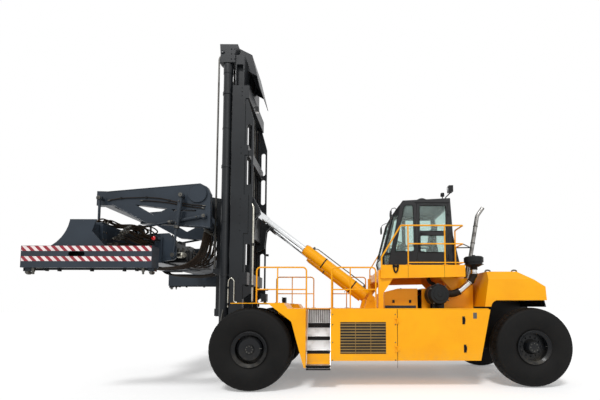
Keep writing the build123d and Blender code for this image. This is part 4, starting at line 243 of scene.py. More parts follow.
chrome = drawn_metal("hard_chrome_ground", "#E2E4E5", 0.12)
stainless = drawn_metal("stainless_tube_polished", "#CFCFCD", 0.22, dulled="#B4AEA4")
zinc = drawn_metal("zinc_plated_steel", "#5C5B57", 0.42, dulled="#2E2B27")
bright_pipe = drawn_metal("galvanised_pipe_bright", "#B9B7AC", 0.35, dulled="#8E897C")
exhaust_steel = drawn_metal("exhaust_steel_heat_stained", "#8A8885", 0.25, dulled="#3A3532")
chain_steel = drawn_metal("chain_steel_oiled", "#5B5A57", 0.38, dulled="#2E2A26")
step_metal = drawn_metal("step_aluminium_rolled", "#E4E4E4", 0.45, along=(0.03, 1.0, 1.0), dulled="#B9B6B0")
engine_iron = sprayed_enamel("engine_enamel_on_iron", "#3E4347", "#303336", 0.55, dust_share=0.5)
black_plastic = moulded_plastic("polyethylene_moulded_black", "#121415", 0.45)
lamp_body = moulded_plastic("nylon_moulded_black", "#141517", 0.45)
trim_plastic = moulded_plastic("cab_trim_abs_moulded", "#3A5A57", 0.55)
seat_vinyl = moulded_plastic("seat_vinyl_embossed", "#1B3A3D", 0.5, grain=420.0, strength=0.3)
cab_tint = float_glass("cab_glass_float_green", "#DDEEEA")
clear_lens = lens("lamp_lens_clear_moulded", "#DADCDD")
red_lens = lens("lamp_lens_red_moulded", "#C01A1E", 0.15)
orange_lens = lens("lamp_lens_orange_moulded", "#F07A10", 0.1)
warning_stripes = striped_sheeting("reflective_sheeting_red_and_white")

FINISHES = {
    "deck": amber_plate,
    "fenders side_boxes louvre_panels bonnet counterweight cab_stand handrails": amber,
    "side_door_left side_door_right tilt_barrel_left tilt_barrel_right": amber,
    "chassis drive_axle steer_axle steer_knuckle_left steer_knuckle_right": black_frame,
    "outer_mast lift_barrels inner_mast carriage": mast_enamel,
    "arms hangers spreader_frame": slate,
    "spreader_end_left spreader_end_right": slate,
    "drive_rims_left drive_rims_right steer_rim_left steer_rim_right": rim_paint,
    "drive_tyres_left drive_tyres_right steer_tyre_left steer_tyre_right": tyre_rubber,
    "cab cab_door": charcoal,
    "cab_glass cab_door_glass": cab_tint,
    "cab_interior": trim_plastic,
    "air_filter": black_plastic,
    "lamps": lamp_body,
    "engine": engine_iron,
    "steps": step_metal,
    "intake_pipe": stainless,
    "exhaust": exhaust_steel,
    "lift_rods tilt_rod_left tilt_rod_right": chrome,
    "chain_front_strands chain_rear_strands": chain_steel,
    "twistlock_left_front twistlock_left_rear twistlock_right_front twistlock_right_rear": zinc,
}
for names, material in FINISHES.items():
    for name in names.split():
        nodes[name].data.materials.clear()
        nodes[name].data.materials.append(material)


# Directions, as the truck sees them
LEFTWARD, RIGHTWARD, FORWARD, BACKWARD = (0, -1, 0), (0, 1, 0), (-1, 0, 0), (1, 0, 0)
UP, DOWN = (0, 0, 1), (0, 0, -1)

# Surfaces
CUBE = np.array([(x, y, z) for x in (0, 1) for y in (0, 1) for z in (0, 1)], float)
CUBE_FACES = np.array([(0, 1, 3, 2), (4, 6, 7, 5), (0, 4, 5, 1), (2, 3, 7, 6), (0, 2, 6, 4), (1, 5, 7, 3)])


def grid(points):
    """Quads between neighbours in rows and columns of points, with the last column joined to the first."""
    rows, columns = points.shape[:2]
    index = np.arange(rows * columns).reshape(rows, columns)
    index = np.concatenate([index, index[:, :1]], axis=1)
    quads = np.stack([index[:-1, :-1], index[:-1, 1:], index[1:, 1:], index[1:, :-1]], axis=-1)
    return points.reshape(-1, 3), quads.reshape(-1, 4)


def square_to(axis):
    """Two unit vectors square to an axis and to each other."""
    axis = np.asarray(axis, float) / np.linalg.norm(axis)
    first = np.cross(axis, np.eye(3)[np.argmin(abs(axis))])
    first /= np.linalg.norm(first)
    return axis, first, np.cross(axis, first)


def lathe(profile, centre, axis, sides=24):
    """A profile of (along, radius) turned about an axis: centre + along * axis + radius * (cos, sin)."""
    axis, u, v = square_to(axis)
    along, radius = np.array(profile, float).T
    angle = np.linspace(0, 2 * np.pi, sides, endpoint=False)
    ring = np.cos(angle)[:, None] * u + np.sin(angle)[:, None] * v
    return grid(np.asarray(centre) + along[:, None, None] * axis + radius[:, None, None] * ring)


def turned(profile, centre, axis, sides=24):
    """A lathed profile that starts and ends on its axis, so that a flat disc closes each end."""
    return lathe([(profile[0][0], 0), *profile, (profile[-1][0], 0)], centre, axis, sides)


def bent(points, radius, steps=6):
    """A route with rounded corners: a parabola from a radius before each corner to a radius after it."""
    route = np.asarray(points, float)
    before, corner, after = route[:-2], route[1:-1], route[2:]
    starts, ends = before - corner, after - corner
    long_in = np.linalg.norm(starts, axis=1, keepdims=True)
    long_out = np.linalg.norm(ends, axis=1, keepdims=True)
    first = corner + starts / long_in * np.minimum(radius, 0.48 * long_in)
    last = corner + ends / long_out * np.minimum(radius, 0.48 * long_out)
    t = np.linspace(0, 1, steps)[None, :, None]
    curve = (1 - t) ** 2 * first[:, None] + 2 * t * (1 - t) * corner[:, None] + t**2 * last[:, None]
    return np.concatenate([route[:1], curve.reshape(-1, 3), route[-1:]])


def tube(route, radius, sides=12):
    """A round section carried along a route: each ring is its point plus radius times (cos, sin) across it.

    The two directions across are carried from ring to ring without twist, and rings of no radius
    close the ends.
    """
    route = np.asarray(route, float)
    tangent = np.gradient(route, axis=0)
    tangent /= np.linalg.norm(tangent, axis=1)[:, None]
    across = [square_to(tangent[0])[1]]
    for direction in tangent[1:]:
        carried = across[-1] - direction * (across[-1] @ direction)
        across.append(carried / np.linalg.norm(carried))
    across = np.array(across)
    other = np.cross(tangent, across)
    angle = np.linspace(0, 2 * np.pi, sides, endpoint=False)[None, :, None]
    radius = np.broadcast_to(radius, len(route))[:, None, None]
    rings = route[:, None] + radius * (np.cos(angle) * across[:, None] + np.sin(angle) * other[:, None])
    start, end = (np.repeat(route[place][None, None], sides, axis=1) for place in (0, -1))
    return grid(np.concatenate([start, rings, end]))


def boxes(*rows):
    """Boxes from rows of (x0, x1, y0, y1, z0, z1): a corner is the low corner plus the size times 0 or 1."""
    rows = np.array(rows, float)
    low, high = np.minimum(rows[:, 0::2], rows[:, 1::2]), np.maximum(rows[:, 0::2], rows[:, 1::2])
    corners = low[:, None] + CUBE[None] * (high - low)[:, None]
    faces = CUBE_FACES[None] + 8 * np.arange(len(rows))[:, None, None]
    return corners.reshape(-1, 3), faces.reshape(-1, 4)


def slab(outline, y0, y1):
    """A flat outline of (x, z) points carried from y0 to y1, closed by fans from its middle."""
    edge = np.array([(x, 0, z) for x, z in outline], float)
    middle = np.repeat(edge.mean(axis=0)[None], len(edge), axis=0)
    shift = np.array([(0, y0, 0), (0, y0, 0), (0, y1, 0), (0, y1, 0)])
    return grid(np.stack([middle, edge, edge, middle]) + shift[:, None])


def bolts(places, axis, radius=0.014, height=0.012):
    """Chamfered hexagon heads on round washers: one turned head, copied by adding each place to it."""
    washer_top, washer_radius = 0.003, radius * 1.35
    head = turned([(washer_top, radius), (height * 0.8, radius), (height, radius * 0.82)], (0, 0, 0), axis, 6)
    washer = turned([(0, washer_radius), (washer_top, washer_radius)], (0, 0, 0), axis, 12)
    points = np.concatenate([head[0], washer[0]])
    quads = np.concatenate([head[1], washer[1] + len(head[0])])
    places = np.array(places, float).reshape(-1, 3)
    faces = quads[None] + len(points) * np.arange(len(places))[:, None, None]
    return (places[:, None] + points[None]).reshape(-1, 3), faces.reshape(-1, 4)


def ring_of(count, centre, radius, axis, start=0.0):
    """Evenly spaced places on a circle about an axis."""
    _, u, v = square_to(axis)
    angle = start + 2 * np.pi * np.arange(count) / count
    return np.asarray(centre) + radius * (np.cos(angle)[:, None] * u + np.sin(angle)[:, None] * v)


def ball(centre, radii, rows=12, columns=20):
    """A stretched sphere: centre + radii * (sin a cos b, sin a sin b, cos a)."""
    a = np.linspace(0, np.pi, rows)[:, None]
    b = np.linspace(0, 2 * np.pi, columns, endpoint=False)[None]
    shape = np.stack([np.sin(a) * np.cos(b), np.sin(a) * np.sin(b), np.cos(a) + 0 * b], axis=-1)
    return grid(np.asarray(centre) + shape * np.asarray(radii))


def mirrored(surface):
    """The same surface on the truck's other side: Y changes sign, and the faces are turned outwards again."""
    return surface[0] * (1, -1, 1), surface[1][:, ::-1]


def put(name, body, material, *surfaces, bevel=0.0, crease=35, replaces=()):
    """Joins surfaces into one mesh with closed seams and outward faces, and sets it on a body."""
    starts = np.cumsum([0] + [len(points) for points, _ in surfaces[:-1]])
    points = np.concatenate([points for points, _ in surfaces])
    quads = np.concatenate([faces + start for (_, faces), start in zip(surfaces, starts)])
    mesh = bpy.data.meshes.new(name)
    mesh.vertices.add(len(points))
    mesh.vertices.foreach_set("co", points.astype(np.float32).ravel())
    mesh.loops.add(quads.size)
    mesh.loops.foreach_set("vertex_index", quads.astype(np.int32).ravel())
    mesh.polygons.add(len(quads))
    mesh.polygons.foreach_set("loop_start", np.arange(0, quads.size, 4, dtype=np.int32))
    mesh.update(calc_edges=True)
    shell = bmesh.new()
    shell.from_mesh(mesh)
    bmesh.ops.remove_doubles(shell, verts=shell.verts, dist=1e-6)
    bmesh.ops.recalc_face_normals(shell, faces=shell.faces)
    shell.to_mesh(mesh)
    shell.free()
    mesh.shade_smooth()
    mesh.set_sharp_from_angle(angle=math.radians(crease))
    mesh.materials.append(material)
    piece = bpy.data.objects.new(name, mesh)
    bpy.context.scene.collection.objects.link(piece)
    if bevel:
        edge = piece.modifiers.new("edges", "BEVEL")
        edge.width, edge.segments, edge.limit_method = bevel, 2, "ANGLE"
        edge.harden_normals = True
    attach(piece, body)
    if replaces:
        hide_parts(*replaces)
    return piece


# Tyres
TYRE_RADIUS, TYRE_HALF = 0.875, 0.25
DRIVE_AXLE_X, STEER_AXLE_X = -1.57, 4.61
TREAD_BARS, BAR_LEAN, GROOVE_DEPTH = 40, 3.2, 0.016


def arc_through(first, middle, last, steps):
    """Points on the circle through three points, in even steps of its angle."""
    (ax, ay), (bx, by), (cx, cy) = first, middle, last
    twice = 2 * (ax * (by - cy) + bx * (cy - ay) + cx * (ay - by))
    a2, b2, c2 = ax * ax + ay * ay, bx * bx + by * by, cx * cx + cy * cy
    x = (a2 * (by - cy) + b2 * (cy - ay) + c2 * (ay - by)) / twice
    y = (a2 * (cx - bx) + b2 * (ax - cx) + c2 * (bx - ax)) / twice
    angles = np.unwrap([math.atan2(py - y, px - x) for px, py in (first, middle, last)])
    angle = np.linspace(angles[0], angles[2], steps)
    radius = math.hypot(ax - x, ay - y)
    return np.stack([x + radius * np.cos(angle), y + radius * np.sin(angle)], axis=1)


def tyre_surface(axle_x, y):
    """A tyre as profile times angle: the moulded outline is turned about the axle.

    The tread's points are drawn in by the grooves: those between the shoulder bars lean with the
    distance from the middle, two more zigzag round the tyre, and fine rings stand out on the walls.
    """
    bead, shoulder, crown = 0.1796, 0.77, TYRE_RADIUS
    wall_top, tread_edge = (TYRE_HALF - 0.022, shoulder), (0.175, crown - 0.022)
    wall = arc_through((bead, 0.379), (TYRE_HALF, crown - 0.28), wall_top, 16)
    corner = arc_through(wall_top, (TYRE_HALF - 0.034, crown - 0.055), tread_edge, 6)
    tread = arc_through(tread_edge, (0, crown), (-0.175, crown - 0.022), 29)
    half = np.concatenate([[(bead, 0.3304)], wall, corner[1:-1]])
    outline = np.concatenate([half, tread, (half * (-1, 1))[::-1]])
    across, radius = outline.T
    turn = np.linspace(0, 2 * np.pi, 8 * TREAD_BARS, endpoint=False)
    across_grid, turn_grid = np.meshgrid(across, turn, indexing="ij")
    off_middle = abs(across_grid)
    lean = TREAD_BARS * turn_grid / (2 * np.pi) + BAR_LEAN * off_middle
    bar = np.clip(1 - abs((lean % 1) - 0.5) / 0.14, 0, 1) ** 0.5
    outer = np.clip((off_middle - 0.075) / 0.012, 0, 1) * np.clip((0.186 - off_middle) / 0.02, 0, 1)
    weave = 0.016 * (2 * abs((lean % 1) * 2 - 1) - 1)
    around = np.clip(1 - abs(abs(across_grid - 0.4 * weave) - 0.05) / 0.009, 0, 1) ** 0.5
    on_tread = (radius > crown - 0.03)[:, None]
    depth = on_tread * GROOVE_DEPTH * np.maximum(bar * outer, around)
    rings = sum(np.exp(-(((radius - place) / 0.006) ** 2)) for place in (0.43, 0.60, 0.74))
    rings = rings * (abs(across) > 0.17)
    out = radius[:, None] - depth
    width = (across + 0.003 * np.sign(across) * rings)[:, None] + 0 * turn
    points = np.stack([out * np.cos(turn) + axle_x, width + y, out * np.sin(turn) + TYRE_RADIUS], axis=-1)
    return grid(np.concatenate([points, points[:1]]))


for side_name, side in SIDES:
    for piece_name, body, cad_name, axle_x, middles in (
        ("twin_tyres", "drive_wheel", "drive_tyres", DRIVE_AXLE_X, (1.80, 1.23)),
        ("rear_tyre", "steer_wheel", "steer_tyre", STEER_AXLE_X, (1.45,)),
    ):
        tyres = [tyre_surface(axle_x, side * middle) for middle in middles]
        cad = f"{cad_name}_{side_name}"
        put(f"{piece_name}_{side_name}", f"{body}_{side_name}", tyre_rubber, *tyres, replaces=[cad])

    # lock ring, valve and hub bolts
    for label, x, hub_y, ring_y, bolt_ring in (
        ("drive_wheel", DRIVE_AXLE_X, 1.985, 2.008, 0.07),
        ("steer_wheel", STEER_AXLE_X, 1.63, 1.658, 0.085),
    ):
        body = f"{label}_{side_name}"
        angle = np.linspace(0, 2 * np.pi, 73)
        circle = 0.366 * np.stack([np.cos(angle), 0 * angle, np.sin(angle)], axis=1)
        circle = (x, side * ring_y, TYRE_RADIUS) + circle
        stem = [(x + 0.27, -0.06), (x + 0.27, 0.005), (x + 0.22, 0.02)]
        stem = bent([(stem_x, side * (ring_y + proud), 0.9) for stem_x, proud in stem], 0.02)
        studs = ring_of(8, (x, side * hub_y, TYRE_RADIUS), bolt_ring, RIGHTWARD)
        put(f"{label}_lock_ring_{side_name}", body, rim_paint, tube(circle, 0.009, 8))
        put(f"{label}_valve_{side_name}", body, zinc, tube(stem, 0.006, 8))
        put(f"{label}_hub_bolts_{side_name}", body, zinc, bolts(studs, (0, side, 0), 0.011, 0.011))


# Pieces that come in pairs, and pieces of boxes alone
def both(name, body, material, *surfaces, **options):
    """One piece from surfaces on the left and their mirror images on the right."""
    return put(name, body, material, *surfaces, *[mirrored(surface) for surface in surfaces], **options)


def plates(name, body, material, *rows, pair=False, bevel=0.0):
    """A piece made of boxes, from rows as boxes() takes them; with pair they stand on the right too."""
    return (both if pair else put)(name, body, material, boxes(*rows), bevel=bevel)


def block(x, y, z, length, width, height):
    """The row of a box from its middle in X and Y, its foot in Z and its whole sizes."""
    return (x - length / 2, x + length / 2, y - width / 2, y + width / 2, z, z + height)


def other_side(routes):
    """The same routes on the truck's other side: Y changes sign."""
    return [[(x, -y, z) for x, y, z in route] for route in routes]


def half_turned(routes):
    """The same routes turned half round about the spreader's upright middle line."""
    return [[(2 * SPREADER_X - x, -y, z) for x, y, z in route] for route in routes]


def loop_tube(corners, radius=0.009, bend=0.04, sides=8):
    """A round strip along a closed outline, which starts half way along its last edge."""
    corners = np.asarray(corners, float)
    start = (corners[-1] + corners[0]) / 2
    return tube(bent([start, *corners, start], bend), radius, sides)


def band(centre, axis, radius, width=0.014, thick=0.003, sides=28):
    """A flat ring: a short rectangle turned about the axis."""
    half, outer = width / 2, radius + thick
    section = [(-half, radius), (-half, outer), (half, outer), (half, radius), (-half, radius)]
    return lathe(section, centre, axis, sides)


def ferrule(end, inward, radius):
    """A hose's crimped end in radii of the hose: a hexagon nut, then a sleeve squeezed in its middle."""
    sleeve = [(0, 1.25), (1.2, 1.25), (1.2, 1.5), (2.6, 1.3), (3.4, 1.45), (4.4, 1.3)]
    nut = [(-1.4, 1.4), (-1.1, 1.6), (0, 1.6)]
    sizes = [(np.array(profile) * radius, sides) for profile, sides in ((sleeve, 14), (nut, 6))]
    return [turned(profile, end, inward, sides) for profile, sides in sizes]


def hoses(name, body, routes, radius=0.014, bend=0.12):
    """Hydraulic hoses along their routes, with a crimped fitting at both ends of each."""
    lines = [bent(route, bend) for route in routes]
    ends = [(line[end], line[beside] - line[end]) for line in lines for end, beside in ((0, 1), (-1, -2))]
    put(name, body, hose_rubber, *[tube(line, radius, 10) for line in lines])
    fittings = [part for end, inward in ends for part in ferrule(end, inward, radius)]
    put(name + "_fittings", body, zinc, *fittings)


def plate_bolts(x, y, z, axis, **size):
    """Bolt heads at every pairing of the X, Y and Z places given."""
    grids = np.meshgrid(x, y, z, indexing="ij")
    return bolts(np.stack(grids, axis=-1).reshape(-1, 3), axis, **size)


# Warning boards on the outer faces of the end beams
END_FACE_Y = 3.0565
for side_name, side in SIDES:
    board = (-5.47, -3.12, side * (END_FACE_Y - 0.001), side * (END_FACE_Y + 0.002))
    rows = ((*board, 2.782, 2.876), (*board, 2.596, 2.684))
    plates(f"warning_boards_{side_name}", f"spreader_end_{side_name}", warning_stripes, *rows)

# End beams: locking rods, landing plungers, lever plates and lamps beside the twistlocks
SPREADER_X, HALF_PITCH, BEAM_UNDER = -4.295, 1.1295, 2.4795
plunger = [(0, 0.014), (0.01, 0.019), (0.05, 0.019), (0.05, 0.028), (0.118, 0.028)]
end_dome = [(0, 0), (0, 0.035), (0.008, 0.032), (0.012, 0)]
for side_name, side in SIDES:
    body = f"spreader_end_{side_name}"
    levers, plungers, heads = [], [], []
    for end in (-1, 1):
        x = SPREADER_X + end * HALF_PITCH
        inner = x - end * 0.30
        levers += [
            boxes((x - end * 0.062, inner, side * 2.87, side * 2.90, 2.440, BEAM_UNDER)),
            turned([(0, 0.03), (0.035, 0.03)], (inner, side * 2.885, 2.43), UP, 20),
            boxes((x + end * 0.070, x + end * 0.052, side * 2.88, side * 2.97, 2.42, BEAM_UNDER)),
        ]
        plungers.append(turned(plunger, (x - end * 0.13, side * 2.985, 2.362), UP, 20))
        head_x, head_y = [x - end * 0.19, x - end * 0.25], [side * 2.945, side * 2.985]
        heads.append(plate_bolts(head_x, head_y, [2.479], DOWN))
    shaft_end = HALF_PITCH - 0.31
    shaft_start = (SPREADER_X - shaft_end, side * 2.885, 2.466)
    levers.append(turned([(0, 0.016), (2 * shaft_end, 0.016)], shaft_start, BACKWARD, 14))
    hangers = [(SPREADER_X + off - 0.02, SPREADER_X + off + 0.02) for off in (-0.6, 0, 0.6)]
    levers += [boxes((*x, side * 2.855, side * 2.915, 2.425, BEAM_UNDER)) for x in hangers]
    put(f"locking_gear_{side_name}", body, black_frame, *levers, bevel=0.003)
    put(f"landing_plungers_{side_name}", body, zinc, *plungers)
    put(f"locking_gear_bolts_{side_name}", body, zinc, *heads)
    lamp_x = SPREADER_X + side * 0.72
    lamp_row = (lamp_x - 0.055, lamp_x + 0.055, side * 2.76, side * 2.797, 2.60, 2.70)
    plates(f"end_lamp_{side_name}", body, lamp_body, lamp_row, bevel=0.006)
    glass = lathe(end_dome, (lamp_x, side * 2.76, 2.65), (0, -side, 0), 24)
    put(f"end_lamp_lens_{side_name}", body, clear_lens, glass)

# Spreader frame: mouth frames with bolted pads, valve blocks, rigid pipes and hoses over the channels
FRAME_TOP, MOUTH_HALF = 3.40, 0.232
mouths, mouth_bolts = [], []
for middle, side in ((-4.55, -1), (-4.04, 1)):
    low, high, pad_x = middle - MOUTH_HALF, middle + MOUTH_HALF, [middle - 0.08, middle + 0.08]
    mouth = side * 2.60
    edge = (mouth - side * 0.16, mouth - side * 0.004)
    pad_y = [mouth - side * 0.04, mouth - side * 0.125]
    mouths += [
        (low, middle - 0.215, *edge, 2.80, 3.39), (middle + 0.215, high, *edge, 2.80, 3.39),
        (low, high, *edge, FRAME_TOP, 3.418), (low, high, *edge, 2.772, 2.79),
    ]
    for z in (2.95, 3.09, 3.23):
        mouth_bolts += [plate_bolts([low], pad_y, [z], FORWARD), plate_bolts([high], pad_y, [z], BACKWARD)]
    mouth_bolts += [plate_bolts(pad_x, pad_y, [3.418], UP), plate_bolts(pad_x, pad_y, [2.772], DOWN)]
plates("channel_mouth_frames", "side_shift", slate, *mouths, bevel=0.004)
put("channel_mouth_bolts", "side_shift", zinc, *mouth_bolts)

valves = [
    (-4.70, -4.42, -0.98, -0.72, FRAME_TOP, 3.50), (-4.70, -4.45, 0.10, 0.36, FRAME_TOP, 3.49),
    (-4.20, -3.92, -0.42, -0.16, FRAME_TOP, 3.50), (-4.16, -3.90, 0.62, 0.90, FRAME_TOP, 3.48),
]
plates("valve_blocks", "side_shift", zinc, *valves, bevel=0.006)
solenoids = []
coil = [(0, 0.022), (0.012, 0.022), (0.012, 0.03), (0.09, 0.03), (0.095, 0.016), (0.115, 0.016)]
for first, y in ((-4.66, -0.93), (-4.16, -0.37)):
    for x in (first, first + 0.1, first + 0.2):
        plug = boxes((x - 0.02, x + 0.02, y + 0.028, y + 0.06, 3.52, 3.56))
        solenoids += [lathe([(0, 0), *coil, (0.118, 0)], (x, y, 3.5), UP, 16), plug]
put("solenoid_coils", "side_shift", black_plastic, *solenoids)

pipe_lines, pipe_clips = [], []
for first, side, start, turn, end in ((-4.74, 1, -2.36, -1.05, -1.0), (-3.85, -1, 2.36, 0.95, 0.9)):
    for index in range(3):
        x, y, z = first + side * 0.03 * index, start + side * 0.04 * index, FRAME_TOP + 0.024 + 0.002 * index
        pipe = [(x, y, FRAME_TOP), (x, y, z), (x, turn, z), (x + side * 0.06, end, FRAME_TOP + 0.05)]
        pipe_lines.append(tube(bent(pipe, 0.03), 0.009, 10))
    for y in (-2.1, -1.75, -1.4):
        pipe_clips.append(block(first + side * 0.03, side * y, FRAME_TOP, 0.09, 0.03, 0.045))
put("spreader_pipes", "side_shift", zinc, *pipe_lines)
plates("spreader_pipe_clips", "side_shift", black_plastic, *pipe_clips, bevel=0.004)

# hoses loop over the channels; how far each one strays from its neighbour is drawn once from a fixed seed
stray = np.random.default_rng(7)
over_top = []
for index in range(9):
    x0, x1 = -4.68 + 0.035 * index, -4.52 + 0.075 * index
    wander = stray.uniform(-0.05, 0.05, 4)
    lift = 0.05 + stray.uniform(0.0, 0.10)
    over_top.append([
        (x0, -2.45 + 0.06 * (index % 3), 3.42), (x0 + wander[0], -2.25, 3.45 + lift),
        (x0 + wander[1], -1.85, 3.44 + lift * 0.6), (x1 + wander[2], -1.5, 3.47 + lift),
        (x1 + wander[3], -1.2, 3.44 + lift * 0.5), (-4.66 + 0.03 * index, -1.02, 3.45),
    ])

# hoses heaped in the gap between the front channel's side and the end of the rear one
heap = []
for index in range(18):
    y0, y1 = -2.45 + 0.02 * (index % 5), -1.26 - 0.03 * (index % 3)
    x0, x1 = -4.30 + 0.022 * index, -4.22 + 0.019 * index
    z = 2.98 + 0.022 * index + stray.uniform(-0.04, 0.04)
    bow = stray.uniform(-0.07, 0.07, 5)
    heap.append([
        (x0, y0, z), (x0 + 0.02 + bow[0] * 0.3, y0 + 0.15, z + 0.04 + bow[1]),
        ((x0 + x1) / 2, -2.0 + bow[2], z + 0.03 + bow[3]), (x1 - 0.01, -1.68 + bow[4], z + 0.02 - bow[1]),
        (x1, y1 - 0.15, z + 0.03), (x1, y1, z + 0.01),
    ])
for label, left, right, radius in (
    ("spreader", over_top, over_top[:7], 0.015),
    ("heaped", heap, heap[::2], 0.017),
):
    hoses(f"{label}_hoses_left", "side_shift", left, radius, 0.16)
    hoses(f"{label}_hoses_right", "side_shift", half_turned(right), radius, 0.16)

# valve bank: sections of two heights on a plate, with capped spools, and the motor beside it
sections = [(y, 3.10 + 0.05 * (index % 2)) for index, y in enumerate(np.arange(-0.85, 0.7, 0.2))]
bank_rows = [(-3.80, -3.40, y, y + 0.15, 2.88, top) for y, top in sections]
bank_rows.append((-3.825, -3.36, -0.9, 0.85, 2.83, 2.88))
plates("valve_bank", "side_shift", black_frame, *bank_rows, bevel=0.006)
spool = [(0, 0.026), (0.05, 0.026), (0.055, 0.016), (0.09, 0.016)]
spools = [turned(spool, (x, y + 0.075, top), UP, 14) for x in (-3.72, -3.60, -3.48) for y, top in sections]
put("valve_bank_caps", "side_shift", zinc, *spools)
motor = [(0, 0.06), (0.02, 0.075), (0.16, 0.075), (0.18, 0.055), (0.22, 0.05)]
put("pump_motor", "side_shift", bright_pipe, turned(motor, (-3.56, -0.92, 3.0), (0.9, -0.4, 0), 28))

# bundle that hangs from the arms' rear tie to the frame's middle
bundle = []
for index in range(8):
    y = -0.62 + 0.13 * index + stray.uniform(-0.02, 0.02)
    low = 2.72 + stray.uniform(0.0, 0.22)
    bundle.append([
        (-2.93, y, 3.66), (-2.95, y + 0.02, 3.30), (-3.02 - stray.uniform(0, 0.1), y, low + 0.12),
        (-3.32, y - 0.03, low), (-3.62, y, low + 0.10), (-3.76, y, 3.02 + 0.03 * index),
        (-3.80, y, 3.10 + 0.02 * index),
    ])
hoses("feed_hoses", "side_shift", bundle, 0.017, 0.2)
manifolds = ((-3.825, -3.77, -0.72, 0.42, 3.00, 3.32), (-2.98, -2.87, -0.72, 0.42, 3.655, 3.70))
plates("feed_manifolds", "side_shift", slate, *manifolds, bevel=0.005)

# hoses that sag under the frame, from its front edge back to its rear face
under = []
for y, z in ((-1.16, 2.74), (-1.23, 2.73), (-1.08, 2.745), (-1.31, 2.73), (-0.99, 2.75), (-0.90, 2.74)):
    sag = [(-4.82, y, 2.86), (-4.70, y, z - 0.03), (-4.2, y, z - 0.075), (-3.7, y, z - 0.08)]
    under.append([*sag, (-3.25, y + 0.05, z - 0.02), (-3.0, y + 0.25, 3.0), (-2.93, y + 0.4, 3.66)])
hoses("under_hoses", "side_shift", under + other_side(under), 0.02, 0.25)

# sheet-metal covers and lamps on the spreader frame
covers = ((-4.62, -4.46, -0.60, -0.30, FRAME_TOP, 3.52), (-4.14, -3.94, 0.15, 0.42, FRAME_TOP, 3.53),
          (-5.06, -4.90, -0.25, 0.25, 3.39, 3.46))
plates("junction_boxes", "side_shift", black_plastic, *covers, bevel=0.01)
red_dome = [(0, 0), (0, 0.046), (0.012, 0.044), (0.02, 0.03), (0.024, 0)]
for label, x, side in (("left", -3.88, -1), ("right", -4.71, 1)):
    face, front = side * 1.46, side * 1.495
    shell = (x - 0.06, x + 0.06, face, front, 3.26, 3.37)
    bracket = (x - 0.02, x + 0.02, side * 1.20, face, 3.30, 3.33)
    plates(f"spreader_lamp_{label}", "side_shift", lamp_body, shell, bracket, bevel=0.008)
    glass = lathe(red_dome, (x, front, 3.315), (0, side, 0), 28)
    put(f"spreader_lamp_lens_{label}", "side_shift", red_lens, glass)

# Arms: hub covers, pins' keeper plates, hoses and cylinder glands along the arms
ARM_FACE_Y = 1.05
hub_cap = [(0, 0), (0, 0.228), (0.012, 0.222), (0.012, 0.205), (0.006, 0.200), (0.006, 0)]
rib_ends = ((-5.10, 4.205, -4.33, 3.79), (-4.30, 3.785, -2.80, 3.668), (-5.22, 4.515, -3.05, 4.718))
ribs = [tube([(x0, -1.052, z0), (x1, -1.052, z1)], 0.006, 8) for x0, z0, x1, z1 in rib_ends]
keepers, pin_bolts = [], []
for x, z, y, radius in (
    (-5.325, 4.325, 1.24, 0.032), (-5.32, 3.33, 1.24, 0.032), (-3.42, 4.40, 1.24, 0.036),
    (-3.57, 2.975, 1.24, 0.036), (-2.905, 3.925, 1.145, 0.03), (-4.40, 3.645, 1.145, 0.03),
):
    collar = [(-0.008, radius), (-0.008, radius + 0.014), (0.006, radius + 0.012)]
    collar += [(0.008, radius * 0.6), (0.004, 0)]
    keepers.append(lathe(collar, (x, -y + 0.004, z), LEFTWARD, 20))
    pin_bolts.append(bolts([(x, -y - 0.006, z)], LEFTWARD, 0.011, 0.01))
both("arm_hub_covers", "side_shift", slate, lathe(hub_cap, (-3.08, -1.079, 4.483), LEFTWARD, 48), *ribs)
both("hanger_pin_collars", "side_shift", zinc, *keepers)
both("hanger_pin_bolts", "side_shift", zinc, *pin_bolts)
along_arm = [
    [(-2.90, -1.072, 4.18), (-3.2, -1.075, 4.20), (-3.55, -1.075, 4.26), (-3.95, -1.072, 4.36),
     (-4.30, -1.07, 4.38), (-4.9, -1.07, 4.36), (-5.2, -1.07, 4.30)],
    [(-2.92, -1.07, 4.12), (-3.3, -1.07, 4.16), (-3.7, -1.07, 4.245), (-4.1, -1.07, 4.29),
     (-4.42, -1.07, 4.30)],
]
hoses("arm_hoses", "side_shift", along_arm + other_side(along_arm), 0.011, 0.15)
clip_places = ((-3.2, 4.20), (-3.75, 4.31), (-4.30, 4.38), (-4.9, 4.36))
clips = [(x - 0.02, x + 0.02, -ARM_FACE_Y, -1.085, z - 0.022, z + 0.022) for x, z in clip_places]
plates("arm_hose_clips", "side_shift", black_plastic, *clips, pair=True, bevel=0.003)
glands = []
for x0, z0, x1, z1, y, r in (
    (-3.42, 4.40, -3.57, 2.975, 1.19, 0.052),
    (-2.905, 3.925, -4.40, 3.645, 1.095, 0.038),
):
    top, foot = np.array((x0, -y, z0)), np.array((x1, -y, z1))
    along = (foot - top) / np.linalg.norm(foot - top)
    gland = top + (foot - top) * 0.55
    section = [(-0.05, 0.03), (-0.05, r + 0.008), (0.012, r + 0.008), (0.02, 0.032)]
    glands.append(lathe(section, gland, along, 28))
    for port in (top + along * 0.16, gland - along * 0.1):
        glands.append(turned([(0, 0.014), (0.05, 0.014)], port + (0, -r + 0.01, 0), LEFTWARD, 12))
both("hanger_cylinder_glands", "side_shift", zinc, *glands)

